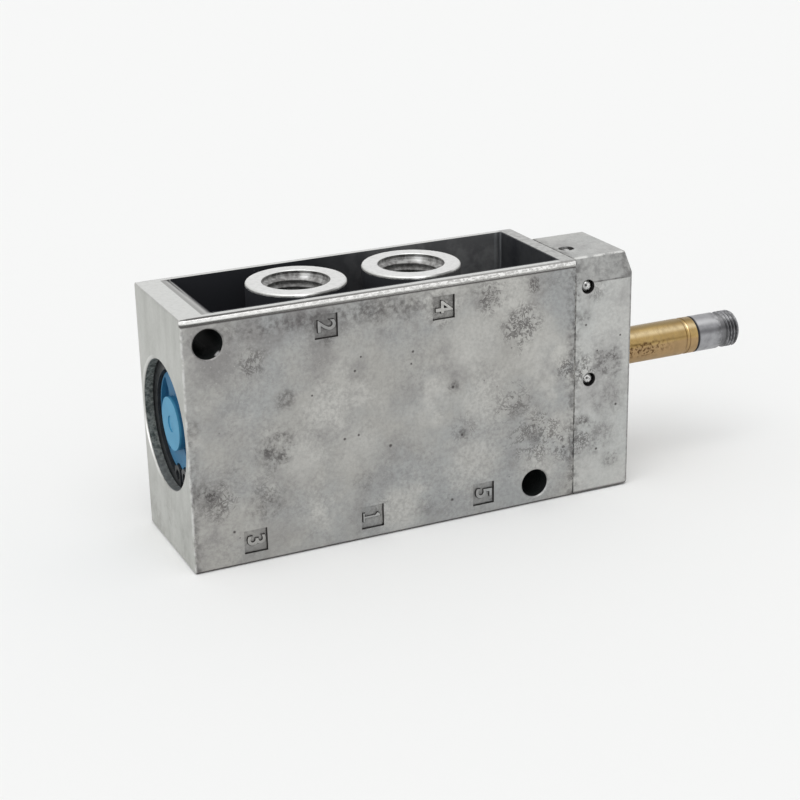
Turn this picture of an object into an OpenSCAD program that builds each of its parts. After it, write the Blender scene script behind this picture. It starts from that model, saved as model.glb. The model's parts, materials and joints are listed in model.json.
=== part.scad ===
// Five-port two-position solenoid valve: die-cast body, spool and cage stack,
// pilot head, and the armature tube that a plug-on coil slides over.
// +X runs from the end cap to the armature tube, +Z from the base to the top ports.
// The origin is the centre of the mouth of port 1, on the base. Millimetres.

/* [Body casting] */
// Width of the body, front face to back face
body_w = 27.5; // [27:0.1:30]
// Height of the body, base to top rim
body_h = 50; // [49:0.5:56]
// Radius on the outer edges of the casting
edge_r = 0.6; // [0.3:0.1:1]
// Height above the base of the spool axis
spool_z = 25.5; // [25:0.1:26.5]
// Thickness of the web between the cage stack and the piston chamber
web_t = 1.45; // [1:0.05:4]

/* [Top pocket] */
// Depth of the pocket round the top ports
pocket_depth = 11.5; // [9:0.1:12.5]
// Wall at the cap end of the pocket
pocket_wall_left = 7.1; // [6:0.1:7.6]
// Wall at the pilot end of the pocket
pocket_wall_right = 3; // [2:0.1:5]
// Wall along the front of the pocket
pocket_wall_front = 2.2; // [1.8:0.1:3]
// Wall along the back of the pocket
pocket_wall_back = 1.7; // [1.4:0.1:3]
// Radius in the upright corners of the pocket
pocket_corner_r = 0.8; // [0.5:0.1:2.5]
// Diameter of the round boss of each top port
port_boss_d = 19.5; // [17:0.1:20.5]
// Radius on the top edge of each port boss
port_boss_edge = 0.5; // [0.2:0.1:1]
// How far the machined bosses stand above the rim
port_boss_proud = 0.1; // [0:0.05:0.4]
// Height of the rounded bead along the top edges
bead_h = 1.3; // [0.8:0.1:2]
// How far the bead stands out of the side faces
bead_out = 0.2; // [0.1:0.05:0.4]

/* [Ports and galleries] */
// Major diameter of the G1/4 port threads
port_thread_d = 13.157; // [12.6:0.001:14]
// Diameter of the chamfered port mouth
port_mouth_d = 13.4; // [13.3:0.1:15]
// Depth of the port threads
port_depth = 11; // [8:0.1:11.5]
// Distance between neighbouring galleries along the spool
gallery_pitch = 12.1; // [11.8:0.1:14]
// Distance from the cap end to the first gallery
first_gallery = 15.7; // [15:0.1:18]
// How far the base ports sit towards the cap end of their galleries
base_port_shift = 3.7; // [3:0.1:4.2]
// Length across the valve of the cored passage above each port
passage_l = 8; // [6:0.1:8.5]
// Width along the valve of the cored passage
passage_w = 5.4; // [4:0.1:5.4]

/* [Mounting holes] */
// Diameter of the two clearance holes through the body
mount_d = 5.8; // [5.3:0.1:6]
// Distance of the upper hole from the cap end
mount_1_from_left = 5.1; // [5:0.1:6]
// Distance of the upper hole below the rim
mount_1_from_top = 5.25; // [4.5:0.05:6]
// Distance of the lower hole from the pilot end of the casting
mount_2_from_right = 8.7; // [7:0.1:9.5]
// Height of the lower hole above the base
mount_2_from_base = 4.4; // [4:0.1:5]
// Wall round the upper hole where it crosses the pocket
mount_boss_wall = 1.6; // [1.2:0.1:2]

/* [Number recesses] */
// Side of the square recesses for the port numbers
number_side = 4.7; // [4:0.1:6]
// Depth of the recesses
number_depth = 0.5; // [0.3:0.05:0.8]
// Height of the lower row of recesses, to the middle
number_low_z = 4.5; // [3.5:0.1:6]
// Distance of the upper row below the rim, to the middle
number_top_drop = 5.3; // [4.5:0.1:6]

/* [Spool, cages and seals] */
// Diameter of the bore that holds the cages
stack_bore_d = 17; // [16:0.1:18]
// Diameter of the spool lands
spool_d = 10; // [9:0.1:10.5]
// Diameter of the spool waists
spool_waist_d = 6.6; // [5.5:0.1:7]
// Travel of the spool
spool_travel = 5; // [4:0.1:6]
// Width of each spool seal
seal_w = 2.6; // [2:0.1:3]
// Inner diameter of the cages
cage_inner_d = 11.8; // [11:0.1:12.6]
// Number of windows round each cage
cage_windows = 6; // [4:1:8]
// Running clearance of the spool in its seals, on the radius
spool_clear = 0.05; // [0.03:0.01:0.08]

/* [End cap and return spring] */
// Diameter of the bore for the end cap
end_bore_d = 25.4; // [24:0.1:25.6]
// Depth of the retaining ring below the end face
circlip_depth = 2.15; // [1.8:0.05:3]
// Thickness of the retaining ring
circlip_t = 1.2; // [1:0.1:1.5]
// Depth of the groove for the retaining ring, on the radius
circlip_groove = 0.5; // [0.4:0.05:0.6]
// Thickness of the rim of the end cap
cap_t = 3.75; // [3.4:0.05:5]
// Diameter of the boss of the end cap
cap_boss_d = 10.4; // [10:0.1:12]
// How far the boss face lies below the end face
cap_boss_sunk = 1.3; // [0.5:0.1:1.6]
// Wire diameter of the return spring
return_wire = 0.9; // [0.7:0.05:1]
// Mean diameter of the return spring
return_coil_d = 6.4; // [6:0.1:6.6]
// Turns of the return spring
return_turns = 7; // [5:0.5:8]

/* [Pilot piston] */
// Diameter of the piston chamber
chamber_d = 20; // [18:0.1:20.6]
// Thickness of the pilot piston
piston_t = 3; // [2.6:0.1:4]
// Cross-section of the piston seal
piston_seal_t = 1.6; // [1.2:0.1:1.8]

/* [Pilot head] */
// Length of the head along the valve
head_l = 13; // [12.6:0.1:16]
// Thickness of the gasket under the head
gasket_t = 0.3; // [0.2:0.05:1]
// How far the head clears the base plane
head_base_gap = 0.3; // [0.1:0.1:0.8]
// Height of the tapered top of the head
head_taper_h = 5.05; // [3:0.05:7]
// How far the front of the taper leans back
head_taper_front = 1.25; // [0.5:0.05:2]
// How far the end of the taper leans back
head_taper_end = 1.4; // [0.5:0.05:2]
// Size of the 45 degree bevel at the back of the top
head_bevel = 9.75; // [8:0.05:11]
// Diameter of the two head screws
screw_d = 4; // [3:0.5:4]
// Distance of each head screw from the middle plane
screw_y = 9.2; // [9.1:0.05:9.6]
// Distance of each head screw above or below the spool axis
screw_dz = 9.5; // [9.3:0.05:9.9]
// Depth of the screw holes in the casting
screw_depth = 8; // [6:0.1:9]

/* [Pilot drillings] */
// Diameter of the steel balls that close the front drillings
ball_d = 2.76; // [2:0.02:3]
// Diameter of the pilot air drillings
pilot_drill_d = 2; // [1.4:0.1:2]
// Distance of the pilot air channel from the middle plane
pilot_y = 5.55; // [5.5:0.05:5.7]
// Height of the pilot air channel above the base
pilot_z = 14; // [13.5:0.1:14.2]
// Height of the upper front drilling
override_drill_z = 44.2; // [43.5:0.1:45]
// Diameter of the manual override screw
override_d = 4.4; // [4:0.1:5]

/* [Armature tube] */
// Height above the base of the tube axis
tube_z = 25; // [24.5:0.1:26]
// Outer diameter of the tube, core and tip thread
tube_d = 7.8; // [7.5:0.1:9]
// Wall of the brass tube
tube_wall = 0.5; // [0.4:0.05:0.6]
// Length of brass that shows beyond the head
brass_l = 23; // [18:0.5:30]
// Length of steel beyond the brass, to the tip
steel_l = 10.65; // [9:0.05:14]
// Length of the tip thread
tip_thread_l = 4.15; // [3:0.05:5]
// Width of the dark ring between brass and steel
core_ring_t = 0.4; // [0.3:0.05:0.8]
// Distance of the rolled seam from the end of the brass
seam_from_end = 2.35; // [1.8:0.05:4]
// Diameter of the flange at the foot of the tube
flange_d = 13.8; // [12.5:0.1:14.6]
// Thickness of the flange
flange_t = 2; // [1.5:0.1:3]
// Stroke of the armature
armature_stroke = 1; // [0.6:0.1:1.4]
// Major diameter of the M5 exhaust thread in the tip
exhaust_thread_d = 5; // [4:0.1:5.2]
// Depth of the exhaust thread
exhaust_depth = 5; // [3:0.1:7]

/* [Hidden] */
$fn = 64;

over = 0.5;        // how far a cutting tool runs past the face it opens
fit = 0.05;        // clearance on the radius between pieces that are pushed together
seat = 0.02;       // gap between faces that meet
grow = 0.1;        // how far two shapes of one piece run into each other

// stations along X, from the cap end to the pilot end
x_left = base_port_shift - first_gallery - 2 * gallery_pitch;
function gallery_x(i) = x_left + first_gallery + i * gallery_pitch;
function base_port_x(i) = gallery_x(i) - base_port_shift;
function seal_x(i) = gallery_x(i) + gallery_pitch / 2;
top_galleries = [1, 3];
base_galleries = [0, 2, 4];
seal_count = 5;
stack_end = seal_x(seal_count - 1) + seal_w / 2;
stop_gap = 0.1;    // left on each side of the piston at the ends of its travel
chamber_depth = piston_t + spool_travel + 2 * stop_gap;
x_chamber = stack_end + web_t;
x_right = x_chamber + chamber_depth;
body_l = x_right - x_left;
x_head = x_right + gasket_t;
x_head_end = x_head + head_l;

// the end cap and what it holds
x_cap_rim = x_left + circlip_depth + circlip_t + fit;
x_cap_in = x_cap_rim + cap_t;
x_cap_boss = x_left + cap_boss_sunk;
cap_boss_skin = 1.2;
spring_clear = 0.35;
spring_room_d = return_coil_d + return_wire + 2 * spring_clear;
x_spring_foot = x_cap_boss + cap_boss_skin;
cap_groove_w = 1.7;
cap_ring_t = 1.26;
x_cap_ring = (x_cap_rim + x_cap_in) / 2;
circlip_band = 2.4;
circlip_r = end_bore_d / 2 + circlip_groove - fit;
circlip_inner_r = circlip_r - circlip_band;
lug_r = 1.9;
lug_turn = 11;     // degrees from the gap of the ring to each lug
gap_turn = -9;     // degrees from the lowest point of the bore to the gap of the ring

// the spool at rest, pushed against the pilot head
spool_end_gap = 0.6;
spring_pocket = 5.4;
piston_nose = 1.9;
x_spool_start = x_cap_in + spool_travel + spool_end_gap;
x_piston = x_chamber + spool_travel + stop_gap;
x_spring_end = x_spool_start + spring_pocket;
waist_overlap = (spool_travel - seal_w) / 2;

// the pilot head, from the face on the gasket outwards
down_drill_at = 2.3;
override_drill_at = 2.6;
front_drill_at = 3.2;
nozzle_at = 4;
override_at = 4.8;
valve_room_at = 6;
valve_room_d = 8;
valve_room_l = 1.8;
screw_head_d = screw_d * 1.75;
screw_head_sink = 4;
screw_hole_clear = 0.2;
x_down_drill = x_head + down_drill_at;
x_override_drill = x_head + override_drill_at;
x_front_drill = x_head + front_drill_at;
x_nozzle = x_head + nozzle_at;
x_override = x_head + override_at;
x_valve_room = x_head + valve_room_at;
x_flange = x_valve_room + valve_room_l;
nozzle_d = 4.6;
nozzle_l = 3.2;
front_drill_z = tube_z - 0.3;
override_l = 9;
override_head_l = 3.6;
override_ring_at = -2.3;
override_ring_t = 0.8;
override_stem_d = 3;

// the armature tube
tube_r = tube_d / 2;
tube_inner_r = tube_r - tube_wall;
root_step = 0.2;   // how much stouter the tube is inside the head
tube_ring_t = 0.94;
tube_ring_in = 1.3;
tube_ring_d = flange_d - 2 * tube_ring_in;
core_plug_l = 9.4;
x_tube_end = x_head_end + brass_l;
x_seam = x_tube_end - seam_from_end;
x_core = x_tube_end - core_plug_l;
x_tip = x_tube_end + steel_l + core_ring_t;
x_thread = x_tip - tip_thread_l;

// the armature and its two pads
pad_out = 0.23;
seat_pad_d = 3.4;
seat_pad_sunk = 2.2;
exhaust_pad_d = 2.6;
exhaust_pad_sunk = 1.5;
armature_pocket_d = 4.9;
armature_pocket_l = 4;
armature_coil_d = 3.9;
armature_wire = 0.4;
x_seat = x_nozzle + nozzle_l;
x_armature = x_seat + seat + pad_out;
x_armature_end = x_core - armature_stroke - 0.1;
x_armature_pocket = x_armature_end - armature_pocket_l;
armature_r = tube_inner_r - 0.08;

function ball_place(i) = [[x_override_drill, -body_w / 2, override_drill_z],
                          [x_front_drill, -body_w / 2, front_drill_z],
                          [x_down_drill, -pilot_y, body_h]][i];

// a cylinder between two stations on an axis along X
module rod_x(d, x0, x1, y = 0, z = 0) {
    translate([x0, y, z]) rotate([0, 90, 0]) cylinder(d = d, h = x1 - x0);
}

// a cone between two stations on an axis along X
module cone_x(d0, d1, x0, x1, z = 0) {
    translate([x0, 0, z]) rotate([0, 90, 0]) cylinder(d1 = d0, d2 = d1, h = x1 - x0);
}

// a cylinder from one side to the other, along Y
module rod_y(d, x, z, y0, y1) {
    translate([x, y1, z]) rotate([90, 0, 0]) cylinder(d = d, h = y1 - y0);
}

// a ring of round section about an axis along X
module ring_x(d_mid, wire, x, z) {
    translate([x, 0, z]) rotate([0, 90, 0])
        rotate_extrude() translate([d_mid / 2, 0]) circle(d = wire, $fn = 24);
}

// a solid of revolution about X: the profile is given as [station, radius]
module turned(profile, z) {
    translate([0, 0, z]) rotate([0, 90, 0]) rotate_extrude()
        polygon([for (p = profile) [p[1], p[0]]]);
}

// a rectangle with round corners, its lower left corner at the origin
module round_rect(w, h, r) {
    translate([r, 0]) square([w - 2 * r, h]);
    translate([0, r]) square([w, h - 2 * r]);
    for (x = [r, w - r], y = [r, h - r]) translate([x, y]) circle(r = r, $fn = 32);
}

// a block whose edges are rounded in all three views, except those of its far end
module rounded_block(l, w, h, r) {
    longer = l + 2 * r;
    intersection() {
        rotate([90, 0, 90]) linear_extrude(l) translate([-w / 2, 0]) round_rect(w, h, r);
        translate([0, -w / 2, 0]) linear_extrude(h) round_rect(longer, w, r);
        translate([0, w / 2, 0]) rotate([90, 0, 0]) linear_extrude(w) round_rect(longer, h, r);
    }
}

// points of a round-wire spring: one closed turn at each end, the rest open
function coil_rise(t, turns, wire, len) =
    let (dead = wire * 1.04, open = (len - wire - 2 * dead) / (turns - 2))
    wire / 2 + dead * min(t, 1) + open * max(0, min(t, turns - 1) - 1)
    + dead * max(0, t - turns + 1);
function coil_ring(t, turns, wire, len, r, sides) =
    let (a = 360 * t, x = coil_rise(t, turns, wire, len))
    [for (k = [0:sides - 1]) let (b = 360 * k / sides, q = r + wire / 2 * cos(b))
        [x + wire / 2 * sin(b), q * cos(a), q * sin(a)]];

module coil_x(x0, z, len, d_mid, wire, turns, sides, steps) {
    n = turns * steps;
    points = [for (i = [0:n]) each coil_ring(i / steps, turns, wire, len, d_mid / 2, sides)];
    walls = [for (i = [0:n - 1], k = [0:sides - 1])
        let (a = i * sides + k, b = i * sides + (k + 1) % sides)
        [a, b, b + sides, a + sides]];
    ends = [[for (k = [sides - 1:-1:0]) k], [for (k = [0:sides - 1]) n * sides + k]];
    translate([x0, 0, z]) polyhedron(points, concat(walls, ends), convexity = 8);
}

// the rounded bead along a top edge of the casting
module top_bead(side) {
    below_rim = 0.05;
    end_in = 0.1;
    bead_d = bead_h - 2 * below_rim;
    x0 = x_left + edge_r + bead_d / 2;
    x1 = x_right - end_in - bead_d / 2;
    y = side * (body_w / 2 + bead_out - bead_d / 2);
    z = body_h - bead_d / 2 - below_rim;
    rod_x(bead_d, x0, x1, y, z);
    for (x = [x0, x1]) translate([x, y, z]) sphere(d = bead_d, $fn = 32);
}

module pocket() {
    l = body_l - pocket_wall_left - pocket_wall_right;
    w = body_w - pocket_wall_front - pocket_wall_back;
    lip = 1.8;
    lip_drop = 0.4;
    slope = lip_drop / lip;
    translate([x_left + pocket_wall_left, -body_w / 2 + pocket_wall_front, body_h - pocket_depth])
        linear_extrude(pocket_depth + over) round_rect(l, w, pocket_corner_r);
    translate([x_left + pocket_wall_left, body_w / 2 - pocket_wall_back, body_h])
        rotate([90, 0, 0]) linear_extrude(w)
            polygon([[-lip, 0], [grow, -lip_drop - slope * grow], [grow, over], [-lip, over]]);
}

module mount_holes() {
    places = [[x_left + mount_1_from_left, body_h - mount_1_from_top],
              [x_right - mount_2_from_right, mount_2_from_base]];
    chamfer = 0.25;
    for (p = places) {
        rod_y(mount_d, p[0], p[1], -body_w / 2 - over, body_w / 2 + over);
        for (side = [-1, 1])
            translate([p[0], side * (body_w / 2 + 0.01), p[1]]) rotate([90 * side, 0, 0])
                cylinder(d1 = mount_d + 2 * chamfer, d2 = mount_d, h = chamfer);
    }
}

// one threaded port with its chamfered mouth and the cone of the drill at its foot;
// the mouth is at z = 0 and the hole runs up
module port_hole() {
    chamfer = (port_mouth_d - port_thread_d) / 2;
    cone_slope = 31;
    cone_end_d = 4;
    cone_h = (port_thread_d - cone_end_d) / 2 * tan(cone_slope);
    translate([0, 0, -over]) cylinder(d = port_thread_d, h = port_depth + over);
    translate([0, 0, port_depth]) cylinder(d1 = port_thread_d, d2 = cone_end_d, h = cone_h);
    translate([0, 0, -0.01]) cylinder(d1 = port_mouth_d + 0.02, d2 = port_thread_d, h = chamfer);
}

// the cored passage from a port to the stack bore
module passage(x, z0, z1) {
    round_at = (passage_l - passage_w) / 2;
    translate([x, 0, z0]) linear_extrude(z1 - z0) {
        square([passage_w, 2 * round_at], center = true);
        for (side = [-1, 1]) translate([0, side * round_at]) circle(d = passage_w);
    }
}

module ports() {
    top_z = body_h + port_boss_proud;
    for (i = top_galleries) {
        translate([gallery_x(i), 0, top_z]) mirror([0, 0, 1]) port_hole();
        passage(gallery_x(i), spool_z, top_z - port_depth + grow);
    }
    for (i = base_galleries) {
        translate([base_port_x(i), 0, 0]) port_hole();
        passage(gallery_x(i), port_depth - grow, spool_z);
    }
}

// a machined boss of a top port, with its top edge rounded
module port_boss(h) {
    r = port_boss_d / 2;
    rotate_extrude() {
        square([r - port_boss_edge, h]);
        square([r, h - port_boss_edge]);
        translate([r - port_boss_edge, h - port_boss_edge]) circle(r = port_boss_edge, $fn = 32);
    }
}

module number_recesses() {
    shift = 0.3;
    module recess(x, z) {
        translate([x + shift - number_side / 2, -body_w / 2 - over, z - number_side / 2])
            cube([number_side, number_depth + over, number_side]);
    }
    for (i = base_galleries) recess(base_port_x(i), number_low_z);
    for (i = top_galleries) recess(gallery_x(i), body_h - number_top_drop);
}

module end_bores() {
    groove_w = circlip_t + 2 * fit;
    mouth = 0.25;
    cap_run_out = 0.8;
    web_hole_clear = 0.5;
    rod_x(end_bore_d, x_left - over, x_cap_in + cap_run_out, 0, spool_z);
    cone_x(end_bore_d + 2 * mouth, end_bore_d, x_left - 0.01, x_left + mouth, spool_z);
    rod_x(end_bore_d + 2 * circlip_groove, x_left + circlip_depth - fit,
          x_left + circlip_depth - fit + groove_w, 0, spool_z);
    rod_x(stack_bore_d, x_left, stack_end, 0, spool_z);
    rod_x(spool_d + 2 * web_hole_clear, stack_end - over, x_chamber + over, 0, spool_z);
    rod_x(chamber_d, x_chamber, x_right + over, 0, spool_z);
}

// the air channel that feeds the pilot head from the supply gallery
module supply_channel() {
    rod_x(pilot_drill_d, gallery_x(2), x_right + over, -pilot_y, pilot_z);
    rod_y(pilot_drill_d, gallery_x(2), pilot_z, -pilot_y, 0);
}

module screw_places() {
    for (side = [-1, 1]) translate([0, side * screw_y, spool_z - side * screw_dz]) children();
}

module valve_body() color([0.62, 0.62, 0.61]) {
    boss_root = 0.5;
    boss_h = pocket_depth + port_boss_proud + boss_root;
    tie_inset = 1;
    difference() {
        union() {
            difference() {
                translate([x_left, 0, 0]) rounded_block(body_l, body_w, body_h, edge_r);
                pocket();
            }
            for (side = [-1, 1]) top_bead(side);
            for (i = top_galleries) translate([gallery_x(i), 0, body_h - pocket_depth - boss_root])
                port_boss(boss_h);
            rod_y(mount_d + 2 * mount_boss_wall, x_left + mount_1_from_left,
                  body_h - mount_1_from_top, -body_w / 2 + tie_inset, body_w / 2 - tie_inset);
        }
        ports();
        mount_holes();
        number_recesses();
        end_bores();
        supply_channel();
        screw_places() rod_x(screw_d + 2 * seat, x_right - screw_depth, x_right + over);
    }
}

// outline of the head seen along X, drawn in by a margin
module head_outline(margin) {
    half = body_w / 2 - margin;
    top = body_h - margin;
    bevel = head_bevel + margin * 0.6;
    polygon([[-half, head_base_gap + margin], [half, head_base_gap + margin],
             [half, top - bevel], [half - bevel, top],
             [-half + head_taper_front, top], [-half, body_h - head_taper_h]]);
}

module head_block() {
    corner = 1.2;
    upright_r = 0.8;
    intersection() {
        translate([x_head, 0, 0]) rotate([90, 0, 90]) linear_extrude(head_l) head_outline(0);
        translate([x_head, body_w / 2, 0]) rotate([90, 0, 0]) linear_extrude(body_w)
            difference() {
                polygon([[0, 0], [head_l, 0], [head_l, body_h - head_taper_h],
                         [head_l - head_taper_end, body_h], [0, body_h]]);
                translate([head_l - corner, head_base_gap]) difference() {
                    translate([0, -over]) square([corner + over, corner + over]);
                    translate([0, corner]) circle(r = corner, $fn = 32);
                }
            }
        translate([x_head - upright_r * 2, -body_w / 2, 0])
            linear_extrude(body_h) round_rect(head_l + upright_r * 2, body_w, upright_r);
    }
}

// the place and tilt of the manual override, at the middle of the bevel
module on_bevel() {
    translate([x_override, body_w / 2 - head_bevel / 2, body_h - head_bevel / 2])
        rotate([-45, 0, 0]) children();
}

module head_drillings() {
    ball_hole = ball_d + 2 * seat;
    ball_depth = 3;
    front = -body_w / 2;
    override_skin = 0.4;
    vent_d = 1.4;
    vent_below = 3.15;
    // feed from the casting, and the vertical drilling that carries it up
    rod_x(pilot_drill_d, x_head - over, x_down_drill, -pilot_y, pilot_z);
    translate([x_down_drill, -pilot_y, pilot_z - pilot_drill_d / 2])
        cylinder(d = pilot_drill_d, h = body_h - pilot_z + pilot_drill_d / 2 + over);
    translate([x_down_drill, -pilot_y, body_h - ball_depth])
        cylinder(d = ball_hole, h = ball_depth + over);
    // front drilling to the nozzle
    rod_y(pilot_drill_d, x_front_drill, front_drill_z, front - over, nozzle_d / 6);
    rod_y(ball_hole, x_front_drill, front_drill_z, front - over, front + ball_depth);
    // front drilling to the manual override
    rod_y(pilot_drill_d, x_override_drill, override_drill_z, front - over,
          body_w / 2 - head_bevel / 2 - override_skin);
    rod_y(ball_hole, x_override_drill, override_drill_z, front - over, front + ball_depth);
    // way from the valve room to the piston chamber
    rod_x(vent_d, x_head - over, x_valve_room + grow, 0, tube_z - vent_below);
}

module pilot_head() color([0.64, 0.64, 0.63]) {
    recess_d = 16;
    recess_depth = 0.5;
    ring_room = 1.3;
    ring_depth = 1;
    difference() {
        head_block();
        rod_x(recess_d, x_head - over, x_head + recess_depth, 0, spool_z);
        rod_x(nozzle_d + 2 * seat, x_front_drill - 0.6, x_valve_room + grow, 0, tube_z);
        rod_x(valve_room_d, x_valve_room, x_flange + grow, 0, tube_z);
        rod_x(flange_d + 2 * fit, x_flange, x_head_end + over, 0, tube_z);
        difference() {
            rod_x(tube_ring_d + ring_room, x_flange - ring_depth, x_flange + grow, 0, tube_z);
            rod_x(tube_ring_d - ring_room, x_flange - 2 * ring_depth, x_flange + over, 0, tube_z);
        }
        head_drillings();
        screw_places() {
            rod_x(screw_d + 2 * screw_hole_clear, x_head - over, x_head_end + over);
            rod_x(screw_head_d + screw_hole_clear, x_head_end - screw_head_sink, x_head_end + over);
        }
        on_bevel() {
            translate([0, 0, -override_l])
                cylinder(d = override_stem_d + 2 * fit, h = override_l + over);
            translate([0, 0, -override_head_l])
                cylinder(d = override_d + 2 * fit, h = override_head_l + over);
        }
    }
}

module head_gasket() color([0.16, 0.16, 0.17]) {
    margin = 0.05;
    hole_clear = 0.2;
    difference() {
        translate([x_right, 0, 0]) rotate([90, 0, 90]) linear_extrude(gasket_t) head_outline(margin);
        rod_x(chamber_d, x_right - over, x_head + over, 0, spool_z);
        rod_x(pilot_drill_d + 2 * hole_clear, x_right - over, x_head + over, -pilot_y, pilot_z);
        screw_places() rod_x(screw_d + 2 * hole_clear, x_right - over, x_head + over);
    }
}

// two socket head screws from the tube side of the head into the casting
module head_screws() color([0.45, 0.46, 0.48]) {
    head_h = screw_head_sink - 0.3;
    end_gap = 0.6;
    socket = screw_d * 0.75;
    socket_depth = 1.9;
    x_under = x_head_end - screw_head_sink;
    screw_places() difference() {
        union() {
            rod_x(screw_d, x_right - screw_depth + end_gap, x_under + grow);
            rod_x(screw_head_d, x_under + seat, x_under + head_h);
        }
        translate([x_under + head_h - socket_depth, 0, 0]) rotate([0, 90, 0])
            cylinder(d = socket / cos(30), h = socket_depth + over, $fn = 6);
    }
}

// moulded cap: rim, hollow boss for the spring and two sunk pockets beside the boss
module end_cap() color([0.33, 0.60, 0.80]) {
    rim_d = end_bore_d - 4 * fit;
    face_d = 19.8;
    face_up = 0.8;
    face_wall = 0.4;
    root = 1;
    pocket_depth_in_rim = 0.5;
    pocket_half = 52;
    dimple_d = 3.2;
    dimple_depth = 0.2;
    lug_clear = 0.3;
    face_x = x_cap_rim - face_up;
    difference() {
        union() {
            rod_x(rim_d, x_cap_rim, x_cap_in, 0, spool_z);
            rod_x(face_d, face_x, x_cap_in - root, 0, spool_z);
            rod_x(cap_boss_d, x_cap_boss, x_cap_in - root, 0, spool_z);
        }
        rod_x(spring_room_d, x_spring_foot, x_cap_in + over, 0, spool_z);
        difference() {
            rod_x(rim_d + 2 * over, x_cap_ring - cap_groove_w / 2, x_cap_ring + cap_groove_w / 2, 0, spool_z);
            rod_x(rim_d - 2 * cap_ring_t, x_cap_rim - over, x_cap_in + over, 0, spool_z);
        }
        for (side = [-1, 1])
            cap_pocket(side, face_x - over, x_cap_rim + pocket_depth_in_rim, face_d - 2 * face_wall,
                       pocket_half);
        translate([face_x - over, 0, spool_z]) rotate([90, 0, 90])
            linear_extrude(face_up + over) rotate(gap_turn) lugs(lug_r + lug_clear);
        rod_x(dimple_d, x_cap_boss - over, x_cap_boss + dimple_depth, 0, spool_z);
    }
}

// one of the two sunk pockets of the cap face, a sector beside the boss
module cap_pocket(side, x0, x1, d, half) {
    near = d * cos(half);
    far = d * 1.5;
    rise = d * sin(half);
    translate([x0, 0, spool_z]) rotate([90, 0, 90]) linear_extrude(x1 - x0)
        intersection() {
            difference() {
                circle(d = d);
                circle(d = cap_boss_d);
            }
            polygon([[0, 0], [side * near, -rise], [side * far, -rise], [side * far, rise],
                     [side * near, rise]]);
        }
}

module end_cap_oring() color([0.08, 0.08, 0.08])
    ring_x(end_bore_d - cap_ring_t - 2 * seat, cap_ring_t, x_cap_ring, spool_z);

// internal retaining ring: thin towards the lugs, which have plier holes
module circlip() color([0.12, 0.12, 0.13]) {
    lean = 0.35;
    hole_d = 2;
    gap_angle = 8;
    gap_half = circlip_r * tan(gap_angle / 2);
    translate([x_left + circlip_depth, 0, spool_z]) rotate([90, 0, 90])
        linear_extrude(circlip_t) rotate(gap_turn) difference() {
            union() {
                difference() {
                    circle(r = circlip_r);
                    translate([0, -lean]) circle(r = circlip_inner_r);
                }
                intersection() {
                    lugs(lug_r);
                    circle(r = circlip_r - seat / 2);
                }
            }
            lugs(hole_d / 2);
            polygon([[0, 0], [-gap_half, -circlip_r - over], [gap_half, -circlip_r - over]]);
        }
}

// the two lugs of the retaining ring, or the room that they need
module lugs(r) {
    for (side = [-1, 1]) rotate(side * lug_turn) translate([0, -circlip_inner_r]) circle(r = r);
}

module return_spring() color([0.55, 0.56, 0.58])
    coil_x(x_spring_foot + seat, spool_z, x_spring_end - x_spring_foot - 2 * seat,
           return_coil_d, return_wire, return_turns, 8, 18);

// the spool: three lands, two waists, a spring pocket and a nose for the piston
module spool() color([0.78, 0.78, 0.80]) {
    land = spool_d / 2;
    waist = spool_waist_d / 2;
    ramp = 1;
    nose_d = 5;
    edge = 0.25;
    pocket_clear = 0.25;
    w1 = seal_x(0) + seal_w / 2 + waist_overlap;
    w2 = w1 + 2 * gallery_pitch;
    difference() {
        turned([[x_spool_start, 0], [x_spool_start, land - edge], [x_spool_start + edge, land],
                [w1, land], [w1 + ramp, waist],
                [w1 + gallery_pitch - ramp, waist], [w1 + gallery_pitch, land],
                [w2, land], [w2 + ramp, waist],
                [w2 + gallery_pitch - ramp, waist], [w2 + gallery_pitch, land],
                [x_piston - seat - edge, land], [x_piston - seat, land - edge],
                [x_piston - seat, nose_d / 2], [x_piston + piston_nose, nose_d / 2],
                [x_piston + piston_nose, 0]],
               spool_z);
        rod_x(return_coil_d + return_wire + 2 * pocket_clear, x_spool_start - over, x_spring_end,
              0, spool_z);
    }
}

module pilot_piston() color([0.74, 0.74, 0.76]) {
    piston_r = chamber_d / 2 - fit;
    groove = piston_seal_t / 2 + fit;
    floor_r = piston_r - piston_seal_t - 0.06;
    nose_hole = 5.1;
    stop_d = 5.4;
    stop_reach = 0.45;
    mid = x_piston + piston_t / 2;
    difference() {
        union() {
            turned([[x_piston, 0], [x_piston, piston_r], [mid - groove, piston_r], [mid - groove, floor_r],
                    [mid + groove, floor_r], [mid + groove, piston_r],
                    [x_piston + piston_t, piston_r], [x_piston + piston_t, 0]], spool_z);
            rod_x(stop_d, x_piston + piston_t - grow, x_head + stop_reach, 0, spool_z);
        }
        rod_x(nose_hole, x_piston - over, x_piston + piston_nose + grow, 0, spool_z);
    }
}

module piston_seal() color([0.08, 0.08, 0.08])
    ring_x(chamber_d - piston_seal_t - 4 * seat, piston_seal_t, x_piston + piston_t / 2, spool_z);

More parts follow.
